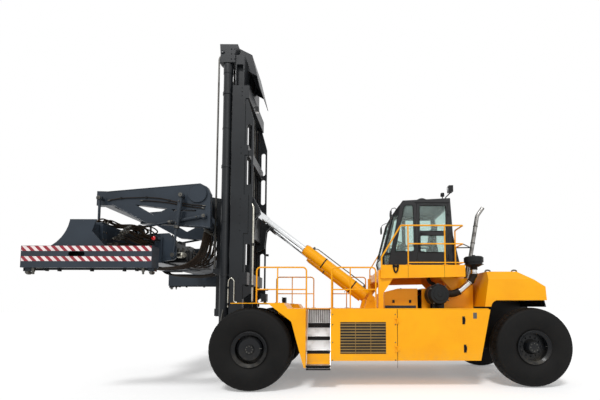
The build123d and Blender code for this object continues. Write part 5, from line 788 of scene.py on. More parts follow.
# Mast: pipes up the uprights, clamps, work lamp, port blocks, guide pads and bolts
feed_pipe = [(-1.765, -0.93, 1.90), (-1.765, -0.93, 4.02), (-1.77, -0.90, 4.22), (-1.84, -0.86, 4.32)]
feed_pipe.append((-1.84, -0.80, 4.48))
put("mast_feed_pipe", "outer_mast", bright_pipe, tube(bent(feed_pipe, 0.12), 0.0225, 14))
arch = ((-2.34, 1.75), (-2.34, 2.40), (-2.27, 2.47), (-2.20, 2.40), (-2.20, 1.88), (-2.12, 1.87))
arch_pipe = bent([(x, -0.945, z) for x, z in arch], 0.06)
both("mast_arch_pipes", "outer_mast", bright_pipe, tube(arch_pipe, 0.014, 12))
clamps = [(-1.80, -1.73, -0.90, -0.962, z - 0.03, z + 0.03) for z in (2.26, 3.27)]
clamps += [(-2.36, -2.32, -0.92, -0.967, z0, z1) for z0, z1 in ((1.80, 1.86), (2.20, 2.25))]
plates("mast_pipe_clamps", "outer_mast", black_plastic, *clamps, pair=True, bevel=0.004)
clamp_bolts = bolts([(-1.765, -0.962, z) for z in (2.26, 3.27)], LEFTWARD, 0.010, 0.009)
both("mast_pipe_clamp_bolts", "outer_mast", zinc, clamp_bolts)

# hoses that climb inside the uprights
climbing = []
for x in (-2.06, -2.11, -2.16, -2.21):
    rise = [(x, -0.70, 0.85), (x, -0.70, 2.0), (x - 0.01, -0.69, 4.0), (x, -0.70, 6.0), (x, -0.70, 6.9)]
    climbing.append(rise)
hoses("mast_hoses", "outer_mast", climbing + other_side(climbing), 0.014, 0.3)
mast_lamp = ((-1.67, -1.75, -0.87, -0.985, 6.57, 6.70), (-1.82, -1.70, -0.885, -0.90, 6.70, 6.73))
plates("mast_lamp", "outer_mast", lamp_body, *mast_lamp, bevel=0.006)
dome = [(0, 0), (0, 0.045), (0.008, 0.042), (0.014, 0.02), (0.016, 0)]
put("mast_lamp_lens", "outer_mast", clear_lens, lathe(dome, (-1.71, -0.9275, 6.57), DOWN, 24))

# bands, gland bolts and port blocks on the lift cylinders
LIFT_X, LIFT_Y = -2.48, 0.80
band_section = [(-0.012, 0.113), (-0.012, 0.1195), (0.012, 0.1195), (0.012, 0.113)]
lift_bands = [lathe(band_section, (LIFT_X, -LIFT_Y, z), UP, 40) for z in (1.35, 3.85, 6.2)]
both("lift_barrel_bands", "outer_mast", mast_enamel, *lift_bands)
gland_places = ring_of(8, (LIFT_X, -LIFT_Y, 7.861), 0.098, UP)
both("lift_gland_bolts", "outer_mast", zinc, bolts(gland_places, UP, 0.012, 0.014))
port_pipe = [(-2.55, -0.925, 0.62), (-2.55, -0.985, 0.62), (-2.55, -0.985, 1.0), (-2.45, -0.945, 1.7)]
port = [boxes((-2.60, -2.50, -0.90, -0.925, 0.55, 0.68)), tube(bent(port_pipe, 0.06), 0.018, 12)]
both("lift_cylinder_ports", "outer_mast", zinc, *port)
bolt_heights = (0.46, 0.58, 0.70, 2.36, 2.45, 2.54, 3.62, 3.8, 4.0, 4.2, 4.4, 5.55, 5.70, 7.02, 7.12, 7.22)
mast_bolts = bolts([(-2.10, -0.921, z) for z in bolt_heights], LEFTWARD, 0.013, 0.011)
both("outer_mast_bolts", "outer_mast", mast_enamel, mast_bolts)
guide_pad = (-2.285, -2.055, -0.69, -0.655, 7.05, 7.21)
plates("outer_mast_guide_pads", "outer_mast", black_plastic, guide_pad, pair=True, bevel=0.004)

# Crosshead: bolts on the cheeks, hub caps on the sheaves' pins, a pipe up the inner mast
cap = [(0, 0), (0, 0.05), (0.018, 0.046), (0.02, 0.018), (0.012, 0)]
both("crosshead_caps", "inner_mast", mast_enamel, lathe(cap, (-2.60, -0.925, 8.15), LEFTWARD, 28))
cheek_bolts = plate_bolts([-2.38, -2.30], [-0.922], [7.97, 8.10, 8.23], LEFTWARD, radius=0.013, height=0.012)
both("crosshead_bolts", "inner_mast", mast_enamel, cheek_bolts)
inner_pipe = bent([(-2.10, -0.58, 1.2), (-2.10, -0.58, 7.6), (-2.25, -0.55, 7.82), (-2.45, -0.50, 7.85)], 0.1)
both("inner_mast_pipes", "inner_mast", zinc, tube(inner_pipe, 0.012, 10))

# Tilt cylinders: gland bolts, wiper ring, bands, and a pipe along the barrel between two ports
port_profile = [(0, 0.03), (0.045, 0.03), (0.045, 0.022), (0.06, 0.022)]
for side_name, side in SIDES:
    body = f"tilt_barrel_{side_name}"
    foot, head = np.array((1.096, side * 0.74, 1.95)), np.array((-1.709, side * 0.74, 4.093))
    along = (head - foot) / np.linalg.norm(head - foot)
    square = np.array((along[2], 0, -along[0]))
    gland = foot + along * 2.041
    gland_places = ring_of(8, gland, 0.112, along)
    put(f"tilt_gland_bolts_{side_name}", body, zinc, bolts(gland_places, along, 0.013, 0.014))
    wiper = lathe([(0, 0.07), (0, 0.092), (0.012, 0.088), (0.018, 0.0705)], gland, along, 32)
    bands = [band(foot + along * d, along, 0.1395, 0.03, 0.006, 40) for d in (0.55, 1.45)]
    put(f"tilt_barrel_bands_{side_name}", body, black_plastic, wiper, *bands)
    beside = np.array((0, side * 0.05, 0))
    places = ((0.32, 0.135), (0.32, 0.19), (1.78, 0.19), (1.86, 0.13), (0.32, 0.125), (1.86, 0.125))
    *line, low, high = [foot + along * d + square * off + beside for d, off in places]
    ports = [turned(port_profile, port, square, 6) for port in (low, high)]
    put(f"tilt_lines_{side_name}", body, zinc, tube(bent(line, 0.05), 0.0125, 12), *ports)

# Carriage: bolt heads on the carrier plates
carrier_bolts = plate_bolts([-2.72, -2.66], [-0.641], [4.0, 4.2, 4.4], LEFTWARD)
both("carriage_bolts", "carriage", mast_enamel, carrier_bolts)


# Headlamps, roof lamp, beacon, indicators and rear lamps
def lamp_glass(name, centre, facing, radius, material, maker=both):
    """A round lens that bulges from its rim, with a retaining ring about it."""
    dome = np.array([(0, 0), (0, 1), (0.15, 0.97), (0.3, 0.7), (0.36, 0)]) * radius
    maker(name, "truck", material, lathe(dome, centre, facing, 28))
    maker(name + "_ring", "truck", lamp_body, band(centre, facing, radius, 0.02, 0.006))


guards = [(-1.412, -1.396, -1.475, -1.685, z0, z1) for z0, z1 in ((2.035, 2.055), (1.875, 1.893))]
plates("headlamp_guards", "truck", black_frame, *guards, (-1.36, -1.30, -1.56, -1.60, 1.845, 1.88), pair=True)
for y in (-1.535, -1.625):
    lamp_glass(f"headlamp_{int(-y * 1000)}", (-1.401, y, 1.965), FORWARD, 0.038, clear_lens)
lamp_glass("front_indicator", (-1.44, -1.72, 1.80), FORWARD, 0.03, orange_lens)
lamp_glass("roof_lamp", (3.109, -0.56, 4.77), (-1, 0, -0.15), 0.055, clear_lens, put)
beacon = [(0, 0.03), (0, 0.048), (0.01, 0.05), (0.05, 0.049), (0.075, 0.04), (0.088, 0.022), (0.092, 0)]
put("beacon_lens", "truck", lamp_body, lathe(beacon, (2.94, -0.64, 4.557), UP, 32))
plates("rear_lamp_boxes", "truck", lamp_body, (4.976, 5.02, -1.42, -1.10, 2.02, 2.14), pair=True, bevel=0.006)
for index, (y, colour) in enumerate(((-1.36, red_lens), (-1.26, orange_lens), (-1.16, clear_lens))):
    lamp_glass(f"rear_lamp_{index}", (5.02, y, 2.08), BACKWARD, 0.04, colour)

# Air cleaner and intake: a ribbed lid, straps, clips, dust valve, rubber elbows and clamps
drum_x, drum_z, drum_r, STRAP_Y = 2.601, 2.046, 0.24, (-1.08, -1.29)
lid = [(0, 0), (0, 0.205), (0.012, 0.215), (0.02, 0.205), (0.02, 0.15), (0.03, 0.14), (0.03, 0.06)]
lid += [(0.04, 0.05), (0.04, 0)]
put("air_cleaner_lid", "truck", black_plastic, lathe(lid, (drum_x, -1.43, drum_z), LEFTWARD, 48))
straps = [band((drum_x, y, drum_z), RIGHTWARD, drum_r, 0.03, 0.005, 56) for y in STRAP_Y]
buckles = boxes(*[block(drum_x, y, drum_z + drum_r, 0.06, 0.024, 0.018) for y in STRAP_Y])
put("air_cleaner_straps", "truck", zinc, *straps, buckles)
clip_places = ring_of(4, (drum_x, -1.415, drum_z), drum_r - 0.002, RIGHTWARD, 0.6)
clips = [block(x, y, z - 0.012, 0.024, 0.044, 0.024) for x, y, z in clip_places]
plates("air_cleaner_clips", "truck", zinc, *clips, bevel=0.003)
dust_valve = [(0, 0.03), (0.01, 0.045), (0.05, 0.04), (0.09, 0.022), (0.10, 0.02), (0.10, 0)]
valve_top = (drum_x - 0.02, -1.36, drum_z - drum_r + 0.012)
put("dust_valve", "truck", seal_rubber, lathe(dust_valve, valve_top, DOWN, 20))
BOWL_X, BOWL_Y = 3.44, -1.3
intake = [(2.781, -1.2, 2.066), (3.061, -1.24, 2.076), (BOWL_X, BOWL_Y, 2.42), (BOWL_X, BOWL_Y, 2.69)]
intake = bent(intake, 0.15)
collar = tube([(BOWL_X, BOWL_Y, 2.62), (BOWL_X, BOWL_Y, 2.70)], 0.082, 28)
put("intake_elbows", "truck", hose_rubber, tube(intake[:6], 0.084, 28), tube(intake[7:13], 0.080, 28), collar)
pipe_clamps = []
for place, onward, radius in ((0, 1, 0.084), (5, 4, 0.084), (7, 8, 0.080), (12, 11, 0.080)):
    toward = intake[onward] - intake[place]
    start = intake[place] + toward / np.linalg.norm(toward) * 0.015
    pipe_clamps.append(band(start, toward, radius, 0.014, 0.004))
put("intake_clamps", "truck", stainless, *pipe_clamps)
bowl_ribs = [band((BOWL_X, BOWL_Y, z), UP, 0.214, 0.010, 0.004, 56) for z in (2.74, 2.80, 2.86)]
knob = [(0, 0.035), (0, 0.04), (0.03, 0.038), (0.034, 0.02), (0.034, 0)]
knob = lathe(knob, (BOWL_X, BOWL_Y, 2.933), UP, 20)
put("pre_cleaner_ribs", "truck", black_plastic, *bowl_ribs, knob)
duct = bent([(2.45, -1.0, 2.44), (2.47, -1.03, 2.36), (2.56, -1.10, 2.30), (2.60, -1.12, 2.24)], 0.08)
put("breather_duct", "truck", hose_rubber, tube(duct, 0.045, 24))

# Exhaust: clamps, a brace to the walkway's rear rail and a stay to its corner
EXHAUST_RISE = np.array((0.292, 0, 1.591)) / np.linalg.norm((0.292, 0, 1.591))


def on_exhaust(distance):
    """A place on the exhaust's straight run: its foot + distance * the run's direction."""
    return np.array((3.493, -0.7, 2.45)) + EXHAUST_RISE * distance


band_sizes = ((0.38, 0.075), (0.92, 0.05), (1.35, 0.05))
exhaust_bands = [band(on_exhaust(d), EXHAUST_RISE, r, 0.03, 0.005, 36) for d, r in band_sizes]
put("exhaust_clamps", "truck", zinc, *exhaust_bands)
for name, y, radius in (("brace", -0.86, 0.014), ("stay", -1.40, 0.012)):
    bar = tube([on_exhaust(0.80) + (-0.04, -0.02, 0), (3.165, y, 3.21)], radius, 12)
    put(f"exhaust_{name}", "truck", lamp_body, bar)

# Side doors and bonnet: handles, a blank plate, a painted shadow strip along the bonnet's foot, latches,
# bolts and the counterweight's lifting eyes
DOOR_Y, PANEL_Y = 1.75, 1.751
grip = [(-0.03, 1.752, 0.06), (0.005, 1.785, 0.06), (0.012, 1.785, 0), (-0.002, 1.785, -0.06)]
grip.append((-0.03, 1.752, -0.065))
for side_name, side in SIDES:
    parts = []
    for x, z in ((3.025, 1.474), (3.046, 0.866)):
        parts.append(tube(bent([(x + across, side * y, z + up) for across, y, up in grip], 0.02), 0.012, 12))
        face = (side * DOOR_Y, side * (DOOR_Y + 0.004))
        parts.append(boxes((x - 0.035, x + 0.022, *face, z - 0.085, z + 0.085)))
    put(f"side_door_handles_{side_name}", f"side_door_{side_name}", lamp_body, *parts, bevel=0.004)
plates("side_door_plate", "side_door_left", zinc, (3.23, 3.31, -DOOR_Y, -1.753, 1.51, 1.64))
# a dark strip along the bonnet's foot: painted shadow where the bonnet meets the deck
plates("bonnet_strips", "truck", slate, (1.418, 2.162, -0.950, -0.956, 1.735, 1.797), pair=True)
latches = [(x - 0.025, x + 0.025, -0.95, -0.972, 1.86, 1.93) for x in (1.62, 2.02, 2.46)]
plates("bonnet_latches", "truck", black_plastic, *latches, pair=True, bevel=0.004)
bonnet_bolts = plate_bolts([0.50, 0.95, 1.40, 1.80], [-0.951], [2.20], LEFTWARD, radius=0.011, height=0.009)
both("bonnet_bolts", "truck", zinc, bonnet_bolts)
panel_z = [0.62, 1.0, 1.38, 1.60]
panel_bolts = plate_bolts([0.17, 1.53], [-PANEL_Y], panel_z, LEFTWARD, radius=0.010, height=0.008)
both("panel_bolts", "truck", zinc, panel_bolts)
eye = ((-0.06, 2.574), (-0.06, 2.66), (0.06, 2.66), (0.06, 2.574))
weight_eyes = [tube(bent([(x + off, -0.85, z) for off, z in eye], 0.07), 0.018, 12) for x in (3.95, 4.60)]
both("counterweight_eyes", "truck", zinc, *weight_eyes)

# Steps: dark nosings along each tread's front and side edge, and rows of raised grips
STEP_X0, STEP_X1 = -0.396, 0.127
nosings, grips, step_bolts = [], [], []
for index, lip in enumerate((0.10, 0.075, 0.06, 0.06)):
    top, outer = 1.69 - 0.292 * (index + 1), -(1.25 + 0.15 * (index + 1))
    nosings.append((STEP_X0, STEP_X1, outer - 0.006, outer + 0.022, top - lip, top + 0.005))
    for x in np.linspace(-0.36, 0.09, 9):
        for place in ((x, outer + 0.075, top), (x + 0.02, outer + 0.125, top)):
            grips.append(lathe([(0, 0.011), (0.004, 0.009), (0.0045, 0)], place, UP, 10))
    bolt_places = [(x, outer - 0.001, top - 0.06) for x in (-0.37, 0.10)]
    step_bolts.append(bolts(bolt_places, LEFTWARD, 0.009, 0.007))
plates("step_nosings", "truck", seal_rubber, *nosings, pair=True)
both("step_grips", "truck", step_metal, *grips)
both("step_bolts", "truck", zinc, *step_bolts)

# Ribs on the top riser, the side panels' seams, kick plates and the bottom step's lip
riser_ribs = [(x - 0.008, x + 0.008, -1.262, -1.250, 1.405, 1.715) for x in np.linspace(-0.37, 0.10, 12)]
kick_x, kick_y = (-0.390, 0.121), -1.7005
kick_plates = ((*kick_x, kick_y, -1.706, 0.60, 0.752), (*kick_x, kick_y, -1.703, 0.53, 0.60))
for name, material, rows in (
    ("top_riser_ribs", zinc, riser_ribs),
    ("side_panel_seams", seal_rubber, [(1.570, 1.578, -1.750, -1.752, 0.44, 1.725)]),
    ("step_kick_plates", amber, kick_plates),
    ("bottom_step_lips", seal_rubber, [(STEP_X0, STEP_X1, -1.856, -1.845, 0.425, 0.452)]),
):
    plates(name, "truck", material, *rows, pair=True)

# Grille before the louvre slots: a black backing that is painted shade inside the slots, then slats over it
# in three bays whose tan is the amber painted in shade
GRILLE_X0, GRILLE_X1, GRILLE_Z0, GRILLE_Z1, SLATS = 0.337, 1.324, 0.757, 1.436, 11
slat_pitch = (GRILLE_Z1 - GRILLE_Z0) / SLATS
for side_name, side in SIDES:
    face = side * PANEL_Y
    # a black sheet as painted shade: it stands for the dark seen through the slots
    shade_backing = (GRILLE_X0, GRILLE_X1, face, face + side * 0.004, GRILLE_Z0, GRILLE_Z1)
    plates(f"louvre_gauze_{side_name}", "truck", lamp_body, shade_backing)
    rows = []
    for slat in range(SLATS):
        slat_z = [GRILLE_Z0 + slat_pitch * (slat + share) for share in (0.30, 0.72)]
        rows.append((GRILLE_X0, GRILLE_X1, face, face + side * 0.012, *slat_z))
    posts = np.linspace(GRILLE_X0, GRILLE_X1, 4)[1:-1]
    rows += [(x - 0.006, x + 0.006, face, face + side * 0.013, GRILLE_Z0, GRILLE_Z1) for x in posts]
    # tan slats on the lands between the slots: painted shade over the amber
    plates(f"louvre_slats_{side_name}", "truck", louvre_painted_shade, *rows, bevel=0.002)

# Handrails: foot plates with two bolts each
feet = [(x, -1.40, 1.73) for x in (-0.43, 0.146, 0.568, 1.15)]
feet = [(-1.56, -1.40, 1.85), (-1.085, -1.40, 1.85), *feet]
feet += [(1.895, -1.425, 2.72), (2.739, -1.425, 2.72), (3.165, -0.86, 2.72)]
foot_plates = [block(x, y, z, 0.12, 0.07, 0.008) for x, y, z in feet]
foot_bolts = [(x + off, y, z + 0.008) for x, y, z in feet for off in (-0.042, 0.042)]
plates("handrail_feet", "truck", amber, *foot_plates, pair=True, bevel=0.002)
both("handrail_foot_bolts", "truck", zinc, bolts(foot_bolts, UP, 0.010, 0.009))

# A hook loop under the cab's front, seams in the stand and toe bars along the walkway
hook_line = ((1.555, 2.72), (1.56, 2.60), (1.60, 2.53), (1.645, 2.60), (1.65, 2.72))
hook = tube(bent([(x, -1.464, z) for x, z in hook_line], 0.05), 0.018, 14)
put("cab_front_hook", "truck", seal_rubber, hook, boxes((1.53, 1.675, -1.45, -1.466, 2.66, 2.715)))
stand_seams = [(x - 0.003, x + 0.003, -1.450, -1.4515, 2.43, 2.715) for x in (1.885, 2.715)]
plates("stand_seams", "truck", seal_rubber, *stand_seams, pair=True)
toe_bars = ((1.895, 3.165, -1.418, -1.432, 2.768, 2.790), (3.155, 3.175, -0.86, -1.425, 2.768, 2.790))
plates("walkway_toe_bars", "truck", amber, *toe_bars, pair=True, bevel=0.003)

# Cab outside: window seals, wiper, mirrors, vent, horn and the door's handle
quarter = ((1.700, 3.128), (2.175, 3.128), (2.160, 4.290), (1.945, 4.290))
rear_window = ((2.255, 3.128), (3.050, 3.128), (3.010, 4.280), (2.255, 4.280))
door_upper = ((2.315, 3.640), (2.975, 3.640), (2.975, 4.280), (2.315, 4.280))
door_lower = ((2.330, 3.110), (2.965, 3.110), (2.965, 3.530), (2.330, 3.530))
for name, body, side, corners in (
    ("quarter_window_seal_left", "truck", -1, quarter),
    ("quarter_window_seal_right", "truck", 1, quarter),
    ("right_window_seal", "truck", 1, rear_window),
    ("door_upper_seal", "cab_door", -1, door_upper),
    ("door_lower_seal", "cab_door", -1, door_lower),
):
    put(name, body, seal_rubber, loop_tube([(x, side * 0.781, z) for x, z in corners], 0.008, 0.05))


def wall_at(z, *line):
    """Where a cab wall stands at a height: straight between the (z, x) points of its side view."""
    return np.interp(z, *np.array(line).T)


FRONT_WALL = ((2.930, 1.372), (4.066, 1.659))
REAR_WALL = ((2.869, 3.291), (3.542, 3.144), (4.475, 3.088))
HALF = 0.505
front_edge = ((-HALF, 3.08), (HALF, 3.08), (HALF, 4.02), (-HALF, 4.02))
roof_edge = ((1.688, -HALF, 4.107), (1.688, HALF, 4.107), (1.869, HALF, 4.359), (1.869, -HALF, 4.359))
rear_edge = ((-0.68, 3.15), (0.68, 3.15), (0.68, 3.542), (0.68, 4.28), (-0.68, 4.28), (-0.68, 3.542))
screens = [
    loop_tube([(wall_at(z, *FRONT_WALL) - 0.002, y, z) for y, z in front_edge], 0.009, 0.06),
    loop_tube([(x - 0.003, y, z + 0.002) for x, y, z in roof_edge], 0.008, 0.04),
    loop_tube([(wall_at(z, *REAR_WALL) + 0.002, y, z) for y, z in rear_edge], 0.008, 0.03),
]
put("screen_seals", "truck", seal_rubber, *screens)

# wiper with its arm and blade across the windscreen, a motor cap below it
pivot = np.array((wall_at(3.05, *FRONT_WALL) - 0.012, 0.0, 3.05))
tip = (wall_at(3.62, *FRONT_WALL) - 0.030, -0.16, 3.62)
blade = [(wall_at(z, *FRONT_WALL) - 0.013, y, z) for y, z in ((-0.06, 3.30), (-0.16, 3.62), (-0.25, 3.92))]
motor_cap = turned([(0, 0.024), (0.02, 0.02), (0.028, 0.010)], pivot + (0.01, 0, 0), (-1, 0, 0.25), 20)
arm = tube([pivot + (-0.012, 0, 0), pivot + (-0.03, -0.02, 0.05), tip], 0.006, 8)
put("windscreen_wiper", "truck", black_plastic, motor_cap, arm, tube(blade, 0.0075, 8))

# mirrors on bent stalks at the cab's front corners
def tall(surface):
    """A mirror's shape drawn out to 1.5 times its height about Z = 4.00."""
    return surface[0] * (1, 1, 1.5) - (0, 0, 2.0), surface[1]


stalk = bent([(1.76, -0.72, 4.18), (1.70, -0.86, 4.20), (1.60, -0.93, 4.16), (1.58, -0.94, 4.06)], 0.04)
housing = [(0, 0), (0, 0.06), (0.015, 0.075), (0.035, 0.07), (0.045, 0.03), (0.046, 0)]
housing = tall(lathe(housing, (1.595, -0.94, 4.00), FORWARD, 32))
disc = tall(turned([(0, 0.064), (0.002, 0.064)], (1.5955, -0.94, 4.00), BACKWARD, 32))
both("cab_mirrors", "truck", black_plastic, tube(stalk, 0.009, 10), housing)
both("cab_mirror_glass", "truck", chrome, disc)

roof_dome = [(0, 0), (0, 0.15), (0.05, 0.148), (0.10, 0.12), (0.13, 0.06), (0.138, 0)]
put("roof_vent", "truck", black_plastic, lathe(roof_dome, (2.46, -0.42, 4.432), UP, 40))
horn = [(0, 0.02), (0.05, 0.022), (0.09, 0.035), (0.12, 0.06), (0.125, 0.062), (0.122, 0.05), (0.06, 0)]
put("horn", "truck", lamp_body, lathe(horn, (1.62, 0.62, 2.74), FORWARD, 28))
door_handle = ((2.32, 2.36, -0.782, -0.80, 3.555, 3.60), (2.325, 2.44, -0.796, -0.81, 3.567, 3.588))
plates("cab_door_handle", "cab_door", lamp_body, *door_handle, bevel=0.004)
put("door_gutter", "truck", charcoal, tube([(2.20, -0.787, 4.36), (3.06, -0.787, 4.36)], 0.009, 8))

# Operator's place: bellows suspension, levers, wheel with spokes, pedals, dashboard and the seat's shells
def cast(name, outline, half_width, bevel, middle=0.0):
    """A plastic moulding of the cab: an outline of (x, z) points carried across the truck."""
    put(name, "truck", trim_plastic, slab(outline, middle - half_width, middle + half_width), bevel=bevel)


bellows = [(0, 0), (0.0, 0.10)]
for fold in range(7):
    low = 0.02 + 0.03 * fold
    bellows += [(low, 0.155), (low + 0.008, 0.168), (low + 0.016, 0.155), (low + 0.023, 0.135)]
bellows += [(0.235, 0.13), (0.235, 0.0)]
cast("steering_column", [(1.78, 2.775), (1.96, 2.775), (2.055, 3.37), (1.96, 3.41)], 0.065, 0.012)
put("seat_suspension", "truck", seal_rubber, lathe(bellows, (2.56, 0, 2.83), UP, 32))
seat_base = boxes((2.38, 2.74, -0.19, 0.19, 2.772, 2.83), (2.36, 2.76, -0.20, 0.20, 3.062, 3.09))
put("seat_base", "truck", black_plastic, seat_base, bevel=0.01, replaces=["cab_interior"])

# steering wheel: a round section carried round a circle, with three spokes and a boss
wheel_axis, wheel_u, wheel_v = square_to((0.5, 0, 0.9))
wheel_centre = np.array((2.02, 0, 3.425))
angle = np.linspace(0, 2 * np.pi, 49)
section = np.linspace(0, 2 * np.pi, 10, endpoint=False)[None, :, None]
radial = (np.cos(angle)[:, None] * wheel_u + np.sin(angle)[:, None] * wheel_v)[:, None]
rim = wheel_centre + 0.185 * radial + 0.014 * (np.cos(section) * radial + np.sin(section) * wheel_axis)
spoke_ends = [wheel_centre + 0.18 * (math.cos(a) * wheel_u + math.sin(a) * wheel_v) for a in (0.5, 2.6, 4.71)]
spokes = [tube([wheel_centre - wheel_axis * 0.02, end], 0.011, 8) for end in spoke_ends]
boss = [(-0.05, 0), (-0.05, 0.03), (-0.01, 0.045), (0.01, 0.04), (0.018, 0.02), (0.02, 0)]
put("steering_wheel", "truck", lamp_body, grid(rim), *spokes, lathe(boss, wheel_centre, wheel_axis, 24))

console = [(2.34, 2.78), (2.75, 2.78), (2.75, 3.24), (2.70, 3.30), (2.36, 3.325)]
cast("side_console", console, 0.065, 0.012, 0.345)
stick = tube(bent([(2.42, 0.345, 3.31), (2.42, 0.345, 3.38), (2.40, 0.335, 3.46)], 0.03), 0.009, 10)
knob = ball((2.397, 0.333, 3.485), (0.026, 0.024, 0.038))
button_places = [(x, y, 3.312) for x in (2.52, 2.57, 2.62, 2.67) for y in (0.31, 0.345, 0.38)]
buttons = [lathe([(0, 0), (0, 0.012), (0.008, 0.011), (0.010, 0)], place, UP, 14) for place in button_places]
put("console_controls", "truck", lamp_body, stick, knob, *buttons)
cabinet = ((1.74, 2.24, 0.46, 0.715, 2.775, 3.30), (1.76, 2.22, 0.50, 0.715, 3.30, 3.42))
plates("side_cabinet", "truck", trim_plastic, *cabinet, bevel=0.02)
cast("dashboard", [(1.50, 2.98), (1.66, 2.98), (1.68, 3.06), (1.56, 3.12)], 0.45, 0.01)
display = ((1.95, 1.975, 0.16, 0.38, 3.30, 3.44), (1.962, 1.99, 0.255, 0.285, 2.78, 3.32))
plates("display", "truck", lamp_body, *display, bevel=0.004)
pedal = [(1.60, 2.80), (1.63, 2.785), (1.70, 2.90), (1.67, 2.915)]
pedals = [slab(pedal, y - 0.035, y + 0.035) for y in (-0.13, 0.13)]
put("pedals", "truck", black_plastic, *pedals, boxes((1.55, 1.68, -0.18, 0.18, 2.773, 2.785)), bevel=0.003)
armrests = [block(2.58, y, 3.355, 0.36, 0.06, 0.045) for y in (-0.235, 0.235)]
plates("armrests", "truck", seat_vinyl, *armrests, bevel=0.016)
back_shell = slab([(2.795, 3.16), (2.825, 3.16), (2.928, 3.90), (2.905, 3.90)], -0.20, 0.20)
seat_shell = boxes((2.36, 2.80, -0.205, 0.205, 3.088, 3.102))
put("seat_shells", "truck", black_plastic, back_shell, seat_shell, bevel=0.008)


def vertices_of(mesh):
    """A mesh's points as rows of x, y and z."""
    flat = np.empty(len(mesh.vertices) * 3, np.float32)
    mesh.vertices.foreach_get("co", flat)
    return flat.reshape(-1, 3)


def applied(piece, name, kind):
    """Takes a live modifier off a piece, and gives the mesh that it made."""
    made = bpy.data.meshes.new_from_object(piece.evaluated_get(bpy.context.evaluated_depsgraph_get()))
    piece.modifiers.remove(piece.modifiers[kind])
    made.name = name
    return made


def cushion(name, surface, cap, across, channels, seam_width=0.012, seam_depth=0.008):
    """A padded seat piece: a block blown up as cloth, whose skin moves out by no more than the cap.

    Sewn channels: each point then sinks toward the middle by depth * exp(-(distance to a seam / width) ** 2).
    """
    pad = put(name, "truck", seat_vinyl, surface)
    remesh = pad.modifiers.new("remesh", "REMESH")
    remesh.mode, remesh.voxel_size = "VOXEL", 0.007
    blocky, pad.data = pad.data, applied(pad, name, "remesh")
    bpy.data.meshes.remove(blocky)
    points = vertices_of(pad.data)
    cloth = pad.modifiers.new("air", "CLOTH").settings
    cloth.use_pressure = True
    cloth.uniform_pressure_force = 4.0
    cloth.effector_weights.gravity = 0.0
    for step in range(1, 21):
        bpy.context.scene.frame_set(step)
    blown = applied(pad, name + "_blown", "air")
    move = vertices_of(blown) - points
    length = np.linalg.norm(move, axis=1, keepdims=True)
    points = points + move * np.minimum(1.0, cap / np.maximum(length, 1e-9))
    bpy.data.meshes.remove(blown)
    bpy.context.scene.frame_set(1)
    inward = points.mean(axis=0) - points
    inward /= np.maximum(np.linalg.norm(inward, axis=1, keepdims=True), 1e-6)
    sunk = sum(np.exp(-((points @ across - channel) / seam_width) ** 2) for channel in channels)
    points = points + inward * (seam_depth * sunk)[:, None]
    pad.data.vertices.foreach_set("co", points.astype(np.float32).ravel())
    pad.data.shade_smooth()
    pad.data.materials.clear()
    pad.data.materials.append(seat_vinyl)
    pad.data.update()
    smooth = pad.modifiers.new("smooth", "SUBSURF")
    smooth.levels = smooth.render_levels = 1


seat_block = boxes((2.35, 2.77, -0.205, 0.205, 3.115, 3.195))
cushion("seat_cushion", seat_block, 0.016, np.array((0.0, 1.0, 0.0)), (-0.12, 0.12))
back_block = slab([(2.705, 3.235), (2.79, 3.225), (2.885, 3.86), (2.81, 3.87)], -0.195, 0.195)
cushion("seat_back", back_block, 0.014, np.array((0.15, 0.0, 0.989)), (3.83, 3.95, 4.07))


# Floor, light and camera
floor_paint, floor_tree, floor_shader = new_material("studio_floor_matt_white")
# matt paint: no gloss, and its own level of white where the camera or a mirror surface sees it
floor_shader.inputs["Base Color"].default_value = linear("#EFEFEF")
floor_shader.inputs["Roughness"].default_value = 0.95
floor_shader.inputs["Specular IOR Level"].default_value = 0.0
floor_shader.inputs["Emission Color"].default_value = linear("#FFFFFF")
floor_path = add(floor_tree, "LightPath").outputs
seen_rays = {0: floor_path["Is Camera Ray"], 1: floor_path["Is Glossy Ray"]}
floor_seen = add(floor_tree, "Math", seen_rays, operation="MAXIMUM").outputs[0]
floor_glow = add(floor_tree, "Math", {0: floor_seen, 1: 0.25}, operation="MULTIPLY").outputs[0]
floor_tree.links.new(floor_glow, floor_shader.inputs["Emission Strength"])
floor_mesh = bpy.data.meshes.new("floor")
FLOOR_HALF = 90
corners = [(x * FLOOR_HALF, y * FLOOR_HALF, 0) for x, y in ((-1, -1), (1, -1), (1, 1), (-1, 1))]
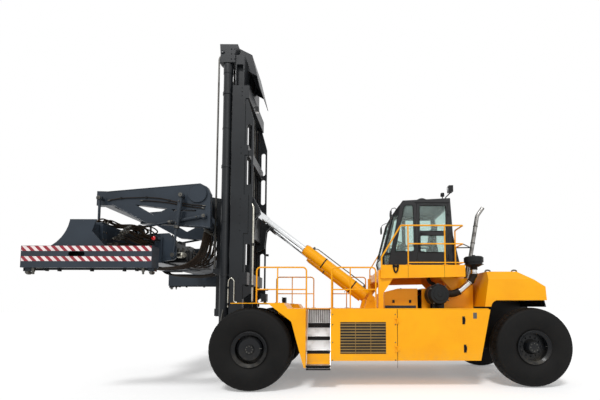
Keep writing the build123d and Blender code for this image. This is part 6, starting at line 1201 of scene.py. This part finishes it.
floor_mesh.from_pydata(corners, [], [(0, 1, 2, 3)])
floor_mesh.materials.append(floor_paint)
floor = bpy.data.objects.new("floor", floor_mesh)
bpy.context.scene.collection.objects.link(floor)

world = bpy.data.worlds.new("studio")
bpy.context.scene.world = world
world.use_nodes = True
sky_tree = world.node_tree
sky_tree.nodes.clear()
sky_output = sky_tree.nodes.new("ShaderNodeOutputWorld")
sky_path = add(sky_tree, "LightPath").outputs
straight_rays = {0: sky_path["Is Camera Ray"], 1: sky_path["Is Transmission Ray"]}
straight = add(sky_tree, "Math", straight_rays, operation="MAXIMUM").outputs[0]
seen = add(sky_tree, "Math", {0: straight, 1: sky_path["Is Glossy Ray"]}, operation="MAXIMUM").outputs[0]
level = add(sky_tree, "MapRange", {0: seen, 1: 0.0, 2: 1.0, 3: 0.5, 4: 1.0}).outputs[0]
sky = add(sky_tree, "Background", {0: linear("#FFFFFF"), 1: level})
sky_tree.links.new(sky.outputs[0], sky_output.inputs[0])

for name, energy, rotation, spread in (("key", 1.7, (38, -14, 0), 12), ("fill", 0.5, (60, 40, 0), 30)):
    data = bpy.data.lights.new(name, "SUN")
    data.energy, data.angle = energy, math.radians(spread)
    light = bpy.data.objects.new(name, data)
    light.rotation_euler = [math.radians(angle) for angle in rotation]
    bpy.context.scene.collection.objects.link(light)

photograph = bpy.data.cameras.new("photograph")
# the photograph's width, height, focal length and optical centre in pixels, and a film 36 mm wide
WIDE, HIGH, FOCAL, CENTRE_X, CENTRE_Y = 600, 400, 363.1, 339.36, 282.54
photograph.sensor_width, photograph.lens = 36.0, FOCAL / WIDE * 36.0
photograph.shift_x, photograph.shift_y = (WIDE / 2 - CENTRE_X) / WIDE, (CENTRE_Y - HIGH / 2) / WIDE
photograph.clip_end = 300
camera = bpy.data.objects.new("photograph", photograph)
camera.location = (0.235, -9.655, 1.774)
camera.rotation_euler = (math.radians(93.77), 0, math.radians(-0.589))
bpy.context.scene.collection.objects.link(camera)
bpy.context.scene.camera = camera
bpy.context.scene.view_settings.view_transform = "Standard"
